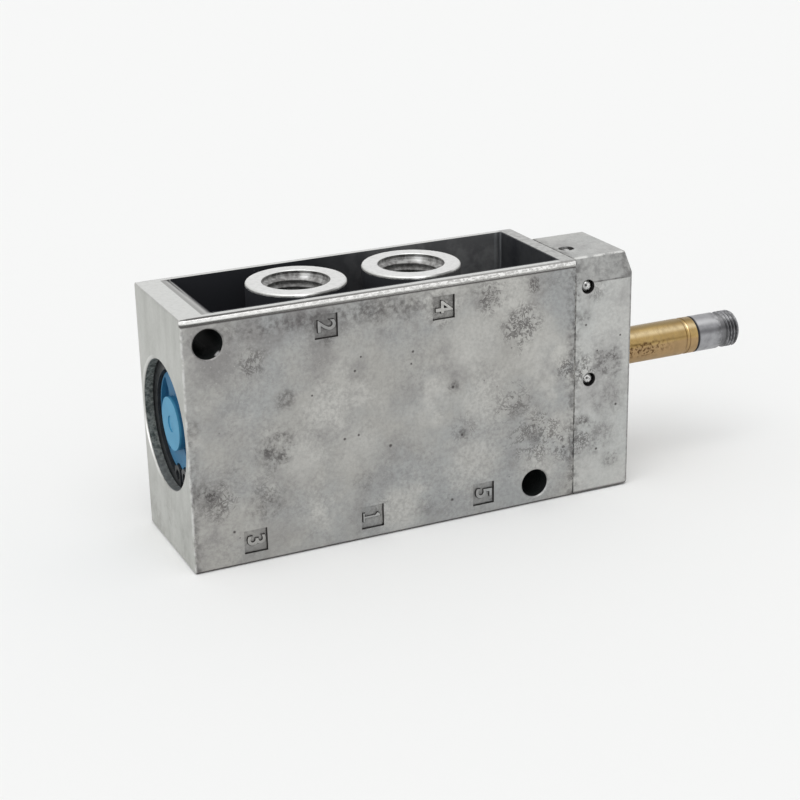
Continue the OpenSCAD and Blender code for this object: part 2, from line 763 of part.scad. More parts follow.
// a cage: end flanges in the bore, a thinner wall between them with windows
module cage(x0, x1, window_x) {
    wall_in = 1.2;
    flange = 1.5;
    window_h = 3;
    rib = 0.25;
    window_most = 5;
    outer = stack_bore_d / 2 - fit;
    wall = outer - wall_in;
    inner = cage_inner_d / 2;
    window_w = min(window_most, gallery_pitch - seal_w - 2 * flange - 2 * rib);
    difference() {
        turned([[x0, inner], [x0, outer], [x0 + flange, outer], [x0 + flange, wall],
                [x1 - flange, wall], [x1 - flange, outer], [x1, outer], [x1, inner]], spool_z);
        for (i = [0:cage_windows - 1])
            translate([window_x, 0, spool_z]) rotate([i * 360 / cage_windows, 0, 0])
                translate([-window_w / 2, -window_h / 2, 0]) cube([window_w, window_h, outer + over]);
    }
}

module end_cage() color([0.80, 0.79, 0.74])
    cage(x_cap_in + seat, seal_x(0) - seal_w / 2 - seat, gallery_x(0));

module spacer_cage(i) color([0.80, 0.79, 0.74])
    cage(seal_x(i - 1) + seal_w / 2 + seat, seal_x(i) - seal_w / 2 - seat, gallery_x(i));

// a moulded spool seal: square back in the bore, rounded lip on the spool
module spool_seal(i) color([0.10, 0.10, 0.11]) {
    lip_r = 0.7;
    neck_w = 1.12;
    back_at = 0.5;
    outer = stack_bore_d / 2 - seat;
    lip = spool_d / 2 + spool_clear + lip_r;
    translate([seal_x(i - 1), 0, spool_z]) rotate([0, 90, 0]) rotate_extrude() {
        translate([lip + back_at, -seal_w / 2]) square([outer - lip - back_at, seal_w]);
        translate([lip, -neck_w / 2]) square([back_at + grow, neck_w]);
        translate([lip, 0]) circle(r = lip_r, $fn = 24);
    }
}

module ball_plugs() color([0.60, 0.61, 0.62]) {
    sunk = 0.12;
    inward = ball_d / 2 + sunk;
    for (i = [0, 1]) translate(ball_place(i)) translate([0, inward, 0]) sphere(d = ball_d);
    translate(ball_place(2)) translate([0, 0, -inward]) sphere(d = ball_d);
}

module pilot_nozzle() color([0.76, 0.62, 0.36]) {
    orifice_r = 0.5;
    rim_r = 1;
    post_r = 1.5;
    base_r = nozzle_d / 2;
    x_step = x_valve_room - grow;
    turned([[x_nozzle, orifice_r], [x_nozzle, base_r], [x_step, base_r], [x_step, post_r],
            [x_seat - rim_r / 2, post_r], [x_seat, rim_r], [x_seat, orifice_r]], tube_z);
}

// brass tube with its flange and the seam rolled into the core
module guide_tube() color([0.78, 0.62, 0.33]) {
    seam_w = 0.5;
    seam_in = 0.2;
    x_step = x_flange + flange_t;
    turned([[x_flange, tube_inner_r], [x_flange, flange_d / 2], [x_step, flange_d / 2],
            [x_step, tube_r + root_step], [x_head_end, tube_r + root_step], [x_head_end, tube_r],
            [x_seam - seam_w, tube_r], [x_seam - seam_w / 3, tube_r - seam_in],
            [x_seam + seam_w / 3, tube_r - seam_in], [x_seam + seam_w, tube_r],
            [x_tube_end, tube_r], [x_tube_end, tube_inner_r],
            [x_seam + seam_w, tube_inner_r], [x_seam + seam_w / 3, tube_inner_r - seam_in],
            [x_seam - seam_w / 3, tube_inner_r - seam_in], [x_seam - seam_w, tube_inner_r]], tube_z);
}

module tube_oring() color([0.08, 0.08, 0.08])
    ring_x(tube_ring_d, tube_ring_t, x_flange - tube_ring_t / 2 - seat, tube_z);

// slotted ring nut that holds the flange down in the head
module tube_nut() color([0.72, 0.58, 0.32]) {
    x0 = x_flange + flange_t + seat;
    x1 = x_head_end - 0.3;
    bore_d = tube_d + 2 * root_step + 4 * fit;
    slot_w = 1.6;
    slot_depth = 1.2;
    difference() {
        rod_x(flange_d, x0, x1, 0, tube_z);
        rod_x(bore_d, x0 - over, x1 + over, 0, tube_z);
        translate([x1 - slot_depth, -flange_d, tube_z - slot_w / 2])
            cube([slot_depth + over, 2 * flange_d, slot_w]);
    }
}

module core_ring() color([0.07, 0.07, 0.07]) {
    sunk = 0.2;
    outer = tube_r - sunk;
    x0 = x_tube_end + seat;
    x1 = x_tube_end + core_ring_t - seat;
    turned([[x0, tube_inner_r], [x0, outer], [x1, outer], [x1, tube_inner_r]], tube_z);
}

// steel core: plug inside the tube, plain collar, undercut, threaded tip with its exhaust bore
module fixed_core() color([0.56, 0.57, 0.58]) {
    plug = tube_inner_r - seat;
    plug_edge = 0.2;
    neck_w = 0.62;
    neck = plug - 0.25;
    collar = x_tube_end + core_ring_t;
    undercut = 0.45;
    undercut_w = 0.7;
    tip_r = 1.1;
    bleed_d = 1.2;
    difference() {
        turned([[x_core, 0], [x_core, plug - plug_edge], [x_core + plug_edge, plug],
                [x_seam - neck_w, plug], [x_seam - neck_w / 3, neck], [x_seam + neck_w / 3, neck],
                [x_seam + neck_w, plug], [collar, plug], [collar, tube_r],
                [x_thread - undercut_w, tube_r], [x_thread - undercut_w, tube_r - undercut],
                [x_thread, tube_r - undercut], [x_thread, tube_r], [x_tip - tip_r, tube_r],
                [x_tip - 0.4 * tip_r, tube_r - 0.27 * tip_r], [x_tip, tube_r - tip_r], [x_tip, 0]],
               tube_z);
        rod_x(exhaust_thread_d, x_tip - exhaust_depth, x_tip + over, 0, tube_z);
        rod_x(bleed_d, x_core - over, x_tip - exhaust_depth + over, 0, tube_z);
    }
}

// armature: seat pad pocket at the nozzle end, spring pocket at the core end, two air grooves
module armature() color([0.60, 0.61, 0.63]) {
    groove_w = 1.2;
    groove_depth = 0.7;
    difference() {
        rod_x(2 * armature_r, x_armature, x_armature_end, 0, tube_z);
        rod_x(seat_pad_d, x_armature - over, x_armature + seat_pad_sunk, 0, tube_z);
        rod_x(armature_pocket_d, x_armature_pocket, x_armature_end + over, 0, tube_z);
        rod_x(exhaust_pad_d, x_armature_pocket - exhaust_pad_sunk, x_armature_end + over, 0, tube_z);
        for (side = [-1, 1])
            translate([x_armature - over, -groove_w / 2, tube_z + side * armature_r - groove_depth])
                cube([x_armature_end - x_armature + 2 * over, groove_w, 2 * groove_depth]);
    }
}

module armature_seat_seal() color([0.10, 0.10, 0.11])
    rod_x(seat_pad_d - 2 * seat, x_seat + seat, x_armature + seat_pad_sunk - seat, 0, tube_z);

module armature_exhaust_seal() color([0.10, 0.10, 0.11])
    rod_x(exhaust_pad_d - 2 * seat, x_armature_pocket - exhaust_pad_sunk + seat,
          x_armature_end + 0.06, 0, tube_z);

module armature_spring() color([0.55, 0.56, 0.58])
    coil_x(x_armature_pocket + seat, tube_z, x_core - x_armature_pocket - 2 * seat,
           armature_coil_d, armature_wire, 6, 6, 14);

// slotted screw that opens the pilot air by hand
module override_screw() color([0.74, 0.60, 0.34]) {
    head_sunk = 0.15;
    slot_w = 0.8;
    slot_depth = 1;
    groove_w = 1.1;
    groove_d = override_d - 1.7;
    foot_gap = 0.4;
    on_bevel() difference() {
        union() {
            translate([0, 0, -override_head_l + grow])
                cylinder(d = override_d, h = override_head_l - grow - head_sunk);
            translate([0, 0, -override_l + foot_gap])
                cylinder(d = override_stem_d - 2 * seat, h = override_l - foot_gap - slot_depth);
        }
        translate([0, 0, override_ring_at - groove_w / 2]) difference() {
            cylinder(d = override_d + 2 * over, h = groove_w);
            translate([0, 0, -over]) cylinder(d = groove_d, h = groove_w + 2 * over);
        }
        translate([-slot_w / 2, -override_d, -slot_depth - head_sunk])
            cube([slot_w, 2 * override_d, slot_depth + over]);
    }
}

module override_oring() color([0.08, 0.08, 0.08])
    on_bevel() translate([0, 0, override_ring_at]) rotate_extrude()
        translate([(override_d - override_ring_t) / 2 - seat, 0]) circle(d = override_ring_t, $fn = 24);

valve_body();
pilot_head();
head_gasket();
head_screws();
end_cap();
end_cap_oring();
circlip();
return_spring();
spool();
pilot_piston();
piston_seal();
end_cage();
for (i = [1:seal_count - 1]) spacer_cage(i);
for (i = [1:seal_count]) spool_seal(i);
ball_plugs();
pilot_nozzle();
guide_tube();
tube_oring();
tube_nut();
core_ring();
fixed_core();
armature();
armature_seat_seal();
armature_exhaust_seal();
armature_spring();
override_screw();
override_oring();
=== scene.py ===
"""Five-port solenoid valve: stained die-cast body and pilot head, blue end cap, brass armature tube."""
import json
import math

import bpy
from mathutils import Matrix, Vector


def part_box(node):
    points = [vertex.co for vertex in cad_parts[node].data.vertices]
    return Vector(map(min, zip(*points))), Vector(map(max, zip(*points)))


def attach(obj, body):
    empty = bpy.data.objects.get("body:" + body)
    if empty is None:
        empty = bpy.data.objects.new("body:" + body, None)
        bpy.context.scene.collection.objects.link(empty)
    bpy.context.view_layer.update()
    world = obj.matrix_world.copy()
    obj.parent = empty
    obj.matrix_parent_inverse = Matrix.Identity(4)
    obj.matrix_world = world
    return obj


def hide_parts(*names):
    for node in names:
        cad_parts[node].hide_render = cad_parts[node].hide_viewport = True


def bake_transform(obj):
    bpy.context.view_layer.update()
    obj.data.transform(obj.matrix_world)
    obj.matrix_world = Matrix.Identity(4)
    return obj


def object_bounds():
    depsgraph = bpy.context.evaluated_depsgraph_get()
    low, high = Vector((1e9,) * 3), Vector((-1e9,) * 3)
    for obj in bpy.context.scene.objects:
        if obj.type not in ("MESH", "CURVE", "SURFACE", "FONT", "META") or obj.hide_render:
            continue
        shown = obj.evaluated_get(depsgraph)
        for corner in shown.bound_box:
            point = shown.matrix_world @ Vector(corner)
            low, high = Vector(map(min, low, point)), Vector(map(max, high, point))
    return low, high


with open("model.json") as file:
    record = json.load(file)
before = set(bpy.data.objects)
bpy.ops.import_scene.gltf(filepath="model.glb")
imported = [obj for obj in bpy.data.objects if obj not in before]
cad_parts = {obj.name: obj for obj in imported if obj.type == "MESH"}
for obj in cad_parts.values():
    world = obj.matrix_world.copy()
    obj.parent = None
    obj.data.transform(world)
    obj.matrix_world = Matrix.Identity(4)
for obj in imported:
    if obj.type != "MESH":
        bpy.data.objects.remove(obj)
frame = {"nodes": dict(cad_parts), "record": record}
cad_low, cad_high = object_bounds()
bpy.ops.object.select_all(action="DESELECT")

MM = 0.001
BODY = "valve"


def millimetres(corner):
    """A corner from the frame, in millimetres."""
    return Vector(corner) / MM


body_low, body_high = (millimetres(c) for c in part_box("valve_body"))
head_low, head_high = (millimetres(c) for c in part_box("pilot_head"))
tube_low, tube_high = (millimetres(c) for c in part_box("guide_tube"))
core_low, core_high = (millimetres(c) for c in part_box("fixed_core"))
cap_low = millimetres(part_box("end_cap")[0])
spool_low, spool_high = (millimetres(c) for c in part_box("spool"))
mounts = {m["name"]: m for m in frame["record"]["mounts"]}
PORTS = [millimetres(mounts["port_%d" % number]["pos_m"]) for number in range(1, 6)]
TOP_PORTS = (PORTS[1], PORTS[3])
PORT_R = mounts["port_1"]["dims"]["r_mm"]
PORT_DEPTH = mounts["port_1"]["dims"]["length_mm"]
TUBE_R = mounts["coil_stem"]["dims"]["r_mm"]
TUBE_Z = (tube_low.z + tube_high.z) / 2
SPOOL_Z = (spool_low.z + spool_high.z) / 2
X_LEFT = body_low.x
X_RIGHT = body_high.x
FRONT = head_low.y
BACK = head_high.y
RIM_Z = head_high.z
X_TUBE_END = tube_high.x
X_TIP = core_high.x

# lengths and radii that the frame doesn't give, in millimetres
RING_GAP = 0.4
THREAD_L = 4.15
SEAM_FROM_END = 2.35
CAP_BORE_R, CAP_BORE_L = 13.25, 12
BEAD_H = 1.36
POCKET_LOW = Vector((X_LEFT + 7.1, FRONT + 2.2, RIM_Z - 11.5))
POCKET_HIGH = Vector((X_RIGHT - 3.0, BACK - 1.7, RIM_Z))
LIP_L, LIP_DROP = 1.8, 0.4
BOSS_R = 9.75
MOUNT_PLACES = (Vector((X_LEFT + 5.1, 0, RIM_Z - 5.25)), Vector((X_RIGHT - 8.7, 0, 4.4)))
MOUNT_R = 2.9
NUMBER_SIDE = 4.7
NUMBER_DEPTH = 0.5
NUMBER_SHIFT = 0.3
DIGIT_STAND = 0.36
TAPER_H = 5.05
BALL_R = 1.38
BALL_PLACES = (Vector((head_low.x + 2.6, FRONT, RIM_Z - 5.8)),
               Vector((head_low.x + 3.2, FRONT, TUBE_Z - 0.3)))
TOP_BALL = Vector((head_low.x + 2.3, -5.55, RIM_Z))
NUMBER_PLACES = ((1, PORTS[0].x, 4.5), (3, PORTS[2].x, 4.5), (5, PORTS[4].x, 4.5),
                 (2, PORTS[1].x, RIM_Z - 5.3), (4, PORTS[3].x, RIM_Z - 5.3))


# Camera, light and floor

def place_camera():
    """The photograph's own view, found from the edges of the block and the circles on it."""
    azimuth, elevation, roll = (math.radians(a) for a in (-24.5352, 20.4965, -1.1781))
    target = Vector((13.8, -1.25, 25.0))
    slide_right, slide_up, distance = -1.325, -2.64, 350.07
    focal_px, image_px, sensor_mm = 1756.23, 800, 36
    back = Vector((math.sin(azimuth) * math.cos(elevation),
                   -math.cos(azimuth) * math.cos(elevation), math.sin(elevation)))
    side = Vector((0, 0, 1)).cross(back).normalized()
    up = back.cross(side)
    right = side * math.cos(roll) + up * math.sin(roll)
    top = up * math.cos(roll) - side * math.sin(roll)
    place = (target + right * slide_right + top * slide_up + back * distance) * MM
    bpy.ops.object.camera_add(location=place)
    camera = bpy.context.object
    camera.matrix_world = Matrix.Translation(place) @ Matrix((right, top, back)).transposed().to_4x4()
    camera.data.sensor_width = sensor_mm
    camera.data.lens = focal_px / image_px * sensor_mm
    camera.data.clip_start = 0.01
    bpy.context.scene.camera = camera


def add_sun(name, azimuth, elevation, softness, strength):
    """A far soft lamp: angles in degrees, azimuth 0 in front of the valve and 90 to its right."""
    turn, rise = math.radians(azimuth), math.radians(elevation)
    towards = Vector((math.sin(turn) * math.cos(rise), -math.cos(turn) * math.cos(rise), math.sin(rise)))
    aim = towards.to_track_quat("Z", "Y").to_euler()
    bpy.ops.object.light_add(type="SUN", location=towards, rotation=aim)
    sun = bpy.context.object
    sun.name = name
    sun.data.energy = strength
    sun.data.angle = math.radians(softness)


def light_scene():
    """A pale even surround, with one broad light above and one from the left."""
    add_sun("light_top", -30, 68, 55, 0.98)
    add_sun("light_left", -75, 28, 80, 0.6)
    world = bpy.data.worlds.new("surround")
    bpy.context.scene.world = world
    world.use_nodes = True
    n = Nodes(world.node_tree)
    world.node_tree.nodes.clear()
    path = world.node_tree.nodes.new("ShaderNodeLightPath")
    seen = n.math("MAXIMUM", path.outputs["Is Glossy Ray"], path.outputs["Is Transmission Ray"])
    fill, mirrored, shown = 0.685, 0.9, 0.92
    strength = n.number(path.outputs["Is Camera Ray"], n.number(seen, fill, mirrored), shown)
    back = n.add("ShaderNodeBackground", {"Color": (1, 1, 1, 1), "Strength": strength})
    n.add("ShaderNodeOutputWorld", {"Surface": back}, out=None)


def lay_floor():
    """A wide pale floor at the height of the base."""
    bpy.ops.mesh.primitive_plane_add(size=12, location=(0, 0, cad_low[2]))
    floor = bpy.context.object
    floor.name = "floor"
    n, out = new_material("floor_card")
    floor.data.materials.append(n.surface(out, (0.87, 0.875, 0.87), 0.9))


# Node helpers

class Nodes:
    """Adds nodes to one tree. An input is a value or another node's output."""

    def __init__(self, tree, material=None):
        self.tree = tree
        self.material = material

    def feed(self, socket, value):
        if isinstance(value, bpy.types.NodeSocket):
            self.tree.links.new(value, socket)
        elif socket.type == "RGBA" and len(value) == 3:
            socket.default_value = (*value, 1)
        else:
            socket.default_value = value

    def add(self, kind, inputs, out=0, **settings):
        node = self.tree.nodes.new(kind)
        for name, value in settings.items():
            setattr(node, name, value)
        for name, value in inputs.items():
            self.feed(node.inputs[name], value)
        return node if out is None else node.outputs[out]

    def math(self, operation, *values, clamp=False):
        inputs = dict(enumerate(values))
        return self.add("ShaderNodeMath", inputs, operation=operation, use_clamp=clamp)

    def vector(self, operation, *values, out=0):
        return self.add("ShaderNodeVectorMath", dict(enumerate(values)), out, operation=operation)

    def stretched(self, vector, *factors):
        return self.vector("MULTIPLY", vector, factors)

    def shifted(self, vector, *step):
        return self.vector("ADD", vector, step)

    def away(self, vector, centre, across=None):
        """Distance from a point, or from a line through it where across is 0 along the line."""
        off = self.vector("SUBTRACT", vector, centre)
        if across is not None:
            off = self.vector("MULTIPLY", off, across)
        return self.vector("LENGTH", off, out=1)

    def chain(self, operation, values):
        total = values[0]
        for value in values[1:]:
            total = self.math(operation, total, value)
        return total

    def times(self, *values):
        return self.chain("MULTIPLY", values)

    def most(self, *values):
        return self.chain("MAXIMUM", values)

    def span(self, value, low, high, to_low=0.0, to_high=1.0, smooth=True):
        """value from low to high, mapped to to_low to to_high."""
        kind = "SMOOTHSTEP" if smooth else "LINEAR"
        inputs = {"Value": value, "From Min": low, "From Max": high, "To Min": to_low, "To Max": to_high}
        return self.add("ShaderNodeMapRange", inputs, interpolation_type=kind)

    def blend(self, factor, a, b, mode="MIX"):
        """Colour a, going to colour b as the factor goes to 1."""
        node = self.add("ShaderNodeMix", {}, out=None, data_type="RGBA", blend_type=mode)
        self.feed(node.inputs[0], factor)
        self.feed(node.inputs[6], a)
        self.feed(node.inputs[7], b)
        return node.outputs[2]

    def number(self, factor, a, b):
        """Number a, going to b as the factor goes to 1."""
        return self.span(factor, 0.0, 1.0, a, b, smooth=False)

    def noise(self, vector, scale, detail=4.0, rough=0.55, warp=0.0):
        inputs = {"Vector": vector, "Scale": scale, "Detail": detail, "Roughness": rough,
                  "Distortion": warp}
        return self.add("ShaderNodeTexNoise", inputs)

    def place(self):
        """Object coordinates in millimetres."""
        return self.scaled(self.add("ShaderNodeTexCoord", {}, out=3), 1 / MM)

    def scaled(self, vector, factor):
        node = self.add("ShaderNodeVectorMath", {0: vector}, out=None, operation="SCALE")
        node.inputs["Scale"].default_value = factor
        return node.outputs[0]

    def split(self, vector):
        return self.add("ShaderNodeSeparateXYZ", {"Vector": vector}, out=None).outputs

    def effect(self, name, **inputs):
        node = self.tree.nodes.new("ShaderNodeGroup")
        node.node_tree = bpy.data.node_groups[name]
        for key, value in inputs.items():
            self.feed(node.inputs[key.replace("_", " ")], value)
        return node.outputs[0]

    def mottle(self, vector, scale, low, high):
        return self.effect("mottle", Vector=vector, Scale=scale, Low=low, High=high)

    def bump(self, height, depth_mm):
        return self.add("ShaderNodeBump", {"Height": height, "Distance": depth_mm * MM, "Strength": 1.0})

    def surface(self, out, colour, rough, metal=0.0, **more):
        """The shader of a finish; more names its further sockets."""
        inputs = {"Base Color": colour, "Roughness": rough, "Metallic": metal}
        inputs.update((key.replace("_", " "), value) for key, value in more.items())
        self.tree.links.new(self.add("ShaderNodeBsdfPrincipled", inputs), out)
        return self.material


def new_material(name):
    """An empty material: its nodes and its output's surface socket."""
    material = bpy.data.materials.new(name)
    material.use_nodes = True
    material.node_tree.nodes.clear()
    n = Nodes(material.node_tree, material)
    out = n.add("ShaderNodeOutputMaterial", {}, out=None)
    return n, out.inputs["Surface"]


def make_effect(name, vectors, values, build):
    """A node group with vector inputs and value inputs, which puts out one mask."""
    group = bpy.data.node_groups.new(name, "ShaderNodeTree")
    for label in vectors:
        group.interface.new_socket(name=label, in_out="INPUT", socket_type="NodeSocketVector")
    for label in values:
        group.interface.new_socket(name=label, in_out="INPUT", socket_type="NodeSocketFloat")
    group.interface.new_socket(name="Mask", in_out="OUTPUT", socket_type="NodeSocketFloat")
    entry = group.nodes.new("NodeGroupInput")
    end = group.nodes.new("NodeGroupOutput")
    mask = build(Nodes(group), {s.name: s for s in entry.outputs if s.name})
    group.links.new(mask, end.inputs["Mask"])


# Effects that several finishes share

def box_mask(n, i):
    """1 inside the box from Low to High, fading over Soft at its faces."""
    inside = n.vector("MINIMUM", n.vector("SUBTRACT", i["Vector"], i["Low"]),
                      n.vector("SUBTRACT", i["High"], i["Vector"]))
    x, y, z = n.split(inside)
    return n.span(n.math("MINIMUM", x, n.math("MINIMUM", y, z)), 0.0, i["Soft"])


def rod_mask(n, i):
    """1 within Radius of a line through Centre; Across is 0 along the line's own direction."""
    gap = n.math("SUBTRACT", i["Radius"], n.away(i["Vector"], i["Centre"], i["Across"]))
    return n.span(gap, 0.0, i["Soft"])


def patch_mask(n, i):
    """A soft patch with a ragged outline."""
    ragged = n.times(n.math("SUBTRACT", n.noise(i["Vector"], 0.35, 5.0, 0.65), 0.5), i["Ragged"])
    reach = n.math("ADD", n.math("DIVIDE", n.away(i["Vector"], i["Centre"]), i["Radius"]), ragged)
    return n.span(reach, 1.05, 0.25)


def curl_mask(n, i):
    """Short curling hairlines, as in the stains of a die casting."""
    swirl = n.math("ABSOLUTE", n.math("SUBTRACT", n.noise(i["Vector"], i["Scale"], 3.0, 0.62, 1.1), 0.5))
    line = n.span(swirl, i["Thin"], n.math("MULTIPLY", i["Thin"], 0.25))
    return n.times(line, n.span(n.noise(i["Vector"], 0.6, 3.0), 0.42, 0.52))


def speck_mask(n, i):
    """Small scattered dots; Share is how many of the cells hold one."""
    node = n.add("ShaderNodeTexVoronoi", {"Vector": i["Vector"], "Scale": i["Scale"]}, out=None)
    dot = n.span(node.outputs["Distance"], i["Size"], 0.0)
    pick = n.split(node.outputs["Color"])[0]
    return n.times(dot, n.math("LESS_THAN", pick, i["Share"]))


def mottle_mask(n, i):
    """Cloudy variation, with its contrast set by Low and High."""
    return n.span(n.noise(i["Vector"], i["Scale"], 7.0, 0.62), i["Low"], i["High"])


make_effect("box", ("Vector", "Low", "High"), ("Soft",), box_mask)
make_effect("rod", ("Vector", "Centre", "Across"), ("Radius", "Soft"), rod_mask)
make_effect("patch", ("Vector", "Centre"), ("Radius", "Ragged"), patch_mask)
make_effect("curls", ("Vector",), ("Scale", "Thin"), curl_mask)
make_effect("specks", ("Vector",), ("Scale", "Size", "Share"), speck_mask)
make_effect("mottle", ("Vector",), ("Scale", "Low", "High"), mottle_mask)

ACROSS_X, ACROSS_Y, ACROSS_Z = (0, 1, 1), (1, 0, 1), (1, 1, 0)

# stains on the front faces: x, z, radius and darkness
SMUDGES = ((-19.0, 22.3, 5.6, 0.95), (-16.9, 31.9, 3.0, 0.75), (-32.8, 15.3, 3.8, 1.0),
           (-21.2, 12.5, 5.4, 0.75), (-27.5, 18.5, 4.0, 0.35), (-1.4, 12.5, 3.2, 0.4),
           (18.0, 28.2, 1.7, 0.8), (19.8, 18.2, 1.6, 0.7), (1.7, 46.2, 4.5, 0.7), (-8.3, 44.6, 5.0, 0.75),
           (-35.0, 29.1, 2.2, 0.6), (8.5, 45.5, 3.5, 0.6), (36.0, 14.3, 2.6, 0.6), (31.5, 20.0, 3.0, 0.4),
           (-23.5, 42.5, 1.5, 0.6), (12.0, 4.0, 3.5, 0.4), (-13.5, 47.0, 3.0, 0.5), (26.0, 45.2, 3.2, 0.5),
           (35.8, 46.4, 1.8, 0.6), (44.0, 30.5, 1.6, 0.8))
CURLED = ((33.0, 38.3, 6.0, 0.9), (26.2, 45.2, 4.6, 0.9), (35.8, 46.4, 2.4, 0.9), (36.5, 14.5, 8.5, 0.75),
          (31.0, 22.5, 6.0, 0.7), (43.5, 27.5, 4.0, 0.8), (-21.2, 14.0, 5.0, 0.55), (43.0, 12.0, 5.0, 0.8),
          (20.0, 19.0, 4.0, 0.5), (16.0, 44.0, 4.5, 0.6), (-23.0, 40.0, 4.0, 0.7), (-31.0, 14.0, 5.0, 0.8),
          (2.0, 6.0, 4.0, 0.4))
DOTS = ((-5.1, 21.7, 0.4), (-2.2, 22.0, 0.35), (4.4, 18.6, 0.45), (-28.1, 7.2, 0.4), (9.5, 36.9, 0.35),
        (9.1, 34.5, 0.3), (-2.6, 35.0, 0.35), (-1.3, 37.6, 0.3), (17.9, 28.3, 0.5), (19.8, 18.0, 0.5),
        (17.5, 4.6, 0.45), (-11.4, 31.6, 0.3))
HEAD_SMUDGES = ((52.8, 28.0, 5.0, 1.0), (52.6, 20.0, 6.0, 0.45), (50.6, 12.0, 5.5, 0.55),
                (47.0, 15.3, 3.0, 0.9), (53.6, 6.5, 3.5, 0.6), (47.2, 38.0, 2.5, 0.6))
HEAD_CURLED = ((47.0, 27.0, 4.5, 0.9), (47.0, 12.0, 4.0, 0.8), (50.0, 43.0, 3.0, 0.5),
               (54.5, 19.5, 3.5, 0.5))
# pale patches and soft dull clouds: x, z, radius and strength
PALE_PATCHES = ((22.5, 37.0, 9.0, 0.6), (-8.0, 28.0, 7.0, 0.9), (-14.0, 20.0, 7.0, 0.7),
                (-3.0, 20.0, 6.0, 0.5), (25.0, 24.0, 8.0, 0.75), (22.0, 12.0, 8.0, 0.7),
                (37.0, 8.0, 7.0, 0.7), (6.0, 5.0, 7.0, 0.8), (16.0, 47.0, 7.0, 0.9),
                (30.0, 46.0, 8.0, 1.0), (35.0, 37.0, 7.0, 0.6), (42.0, 31.0, 4.0, 1.0),
                (42.0, 16.0, 5.0, 0.7))
DULL_CLOUDS = ((-30.0, 42.0, 7.0, 0.8), (-23.0, 46.0, 4.0, 0.7), (-9.0, 38.5, 5.0, 0.6),
               (9.0, 29.0, 5.0, 0.3), (-30.0, 30.0, 6.0, 0.25), (-20.0, 5.0, 5.0, 0.35),
               (-26.0, 26.0, 5.0, 0.25), (47.5, 21.0, 4.0, 0.6), (52.8, 28.2, 5.2, 0.6),
               (57.0, 42.0, 3.0, 0.4))
# warm, cool, pale and soiled tones of the cast skin
BODY_TONES = (0.43, 0.423, 0.402), (0.385, 0.395, 0.395), (0.55, 0.545, 0.52), (0.265, 0.258, 0.255)
HEAD_TONES = (0.56, 0.56, 0.54), (0.51, 0.52, 0.51), (0.64, 0.64, 0.62), (0.38, 0.375, 0.37)
# near black, used for dirt and for painted shade
GRIME_AND_SHADE = (0.075, 0.068, 0.068)
CAST_METAL = 0.92
END_TONES = (0.52, 0.525, 0.5), (0.42, 0.425, 0.4)
RIM_TONE = (0.7, 0.705, 0.69)
RING_TONE = (0.8, 0.8, 0.79)
HEAD_DOTS = ((50.2, 30.5, 0.3), (54.8, 18.3, 0.4), (50.4, 9.3, 0.4), (55.5, 33.0, 0.3), (47.5, 36.3, 0.35))


def stains(n, v, places, y, ragged):
    """The darkest of the listed patches at each point."""
    return n.most(*[
        n.times(n.effect("patch", Vector=v, Centre=(x, y, z), Radius=radius, Ragged=ragged), dark)
        for x, z, radius, dark in places])


def cast_surface(n, v, tones, smudges, curled, dots):
    """Colour, roughness and height of the raw die-cast skin."""
    warm, cool, pale, soiled = tones
    colour = n.blend(n.mottle(v, 0.04, 0.36, 0.64), warm, cool)
    light = n.mottle(n.shifted(v, 31, 7, 13), 0.085, 0.48, 0.7)
    colour = n.blend(n.times(light, 0.95), colour, pale)
    haze = n.mottle(n.shifted(v, 5, 43, 29), 0.11, 0.47, 0.74)
    colour = n.blend(n.times(haze, 0.95), colour, soiled)
    colour = n.blend(stains(n, v, PALE_PATCHES, FRONT, 0.9), colour, pale)
    colour = n.blend(stains(n, v, DULL_CLOUDS, FRONT, 0.9), colour, soiled)
    grainy = n.mottle(v, 0.07, 0.4, 0.6)
    grain = n.mottle(v, 1.5, 0.32, 0.68)
    colour = n.blend(n.times(grain, n.number(grainy, 0.12, 0.4)), colour, soiled)
    # pale flecks: painted tiny highlights
    fleck_highlight = n.times(n.mottle(n.shifted(v, 17, 3, 8), 1.9, 0.6, 0.7), grainy)
    colour = n.blend(n.times(fleck_highlight, 0.5), colour, pale)
    smudge = n.times(stains(n, v, smudges, FRONT, 1.1),
                     n.number(n.mottle(v, 0.55, 0.36, 0.6), 0.2, 1.0),
                     n.number(n.mottle(v, 1.7, 0.42, 0.56), 0.5, 1.15))
    high_up = n.span(n.split(v)[2], 24.0, 32.0)
    curls = n.times(stains(n, v, curled, FRONT, 1.3),
                    n.most(n.times(n.effect("curls", Vector=v, Scale=0.42, Thin=0.05), high_up),
                           n.effect("curls", Vector=n.shifted(v, 9, 21, 4), Scale=0.85, Thin=0.085)))
    dot = n.most(stains(n, v, [(x, z, r, 0.9) for x, z, r in dots], FRONT, 0.3),
                 n.times(n.effect("specks", Vector=v, Scale=0.33, Size=0.1, Share=0.16), 0.6))
    dark = n.most(n.times(smudge, 0.72), n.times(curls, 0.8), dot)
    colour = n.blend(dark, colour, GRIME_AND_SHADE)
    rough = n.number(n.most(dark, grain), 0.44, 0.62)
    height = n.math("SUBTRACT", n.math("ADD", grain, n.times(fleck_highlight, 0.6)), n.times(dot, 1.5))
    return colour, rough, height


def edge_line(n, value, at, width):
    """1 on a station along one axis, fading over a width."""
    away = n.math("ABSOLUTE", n.math("SUBTRACT", value, at))
    return n.span(away, width, 0.0)


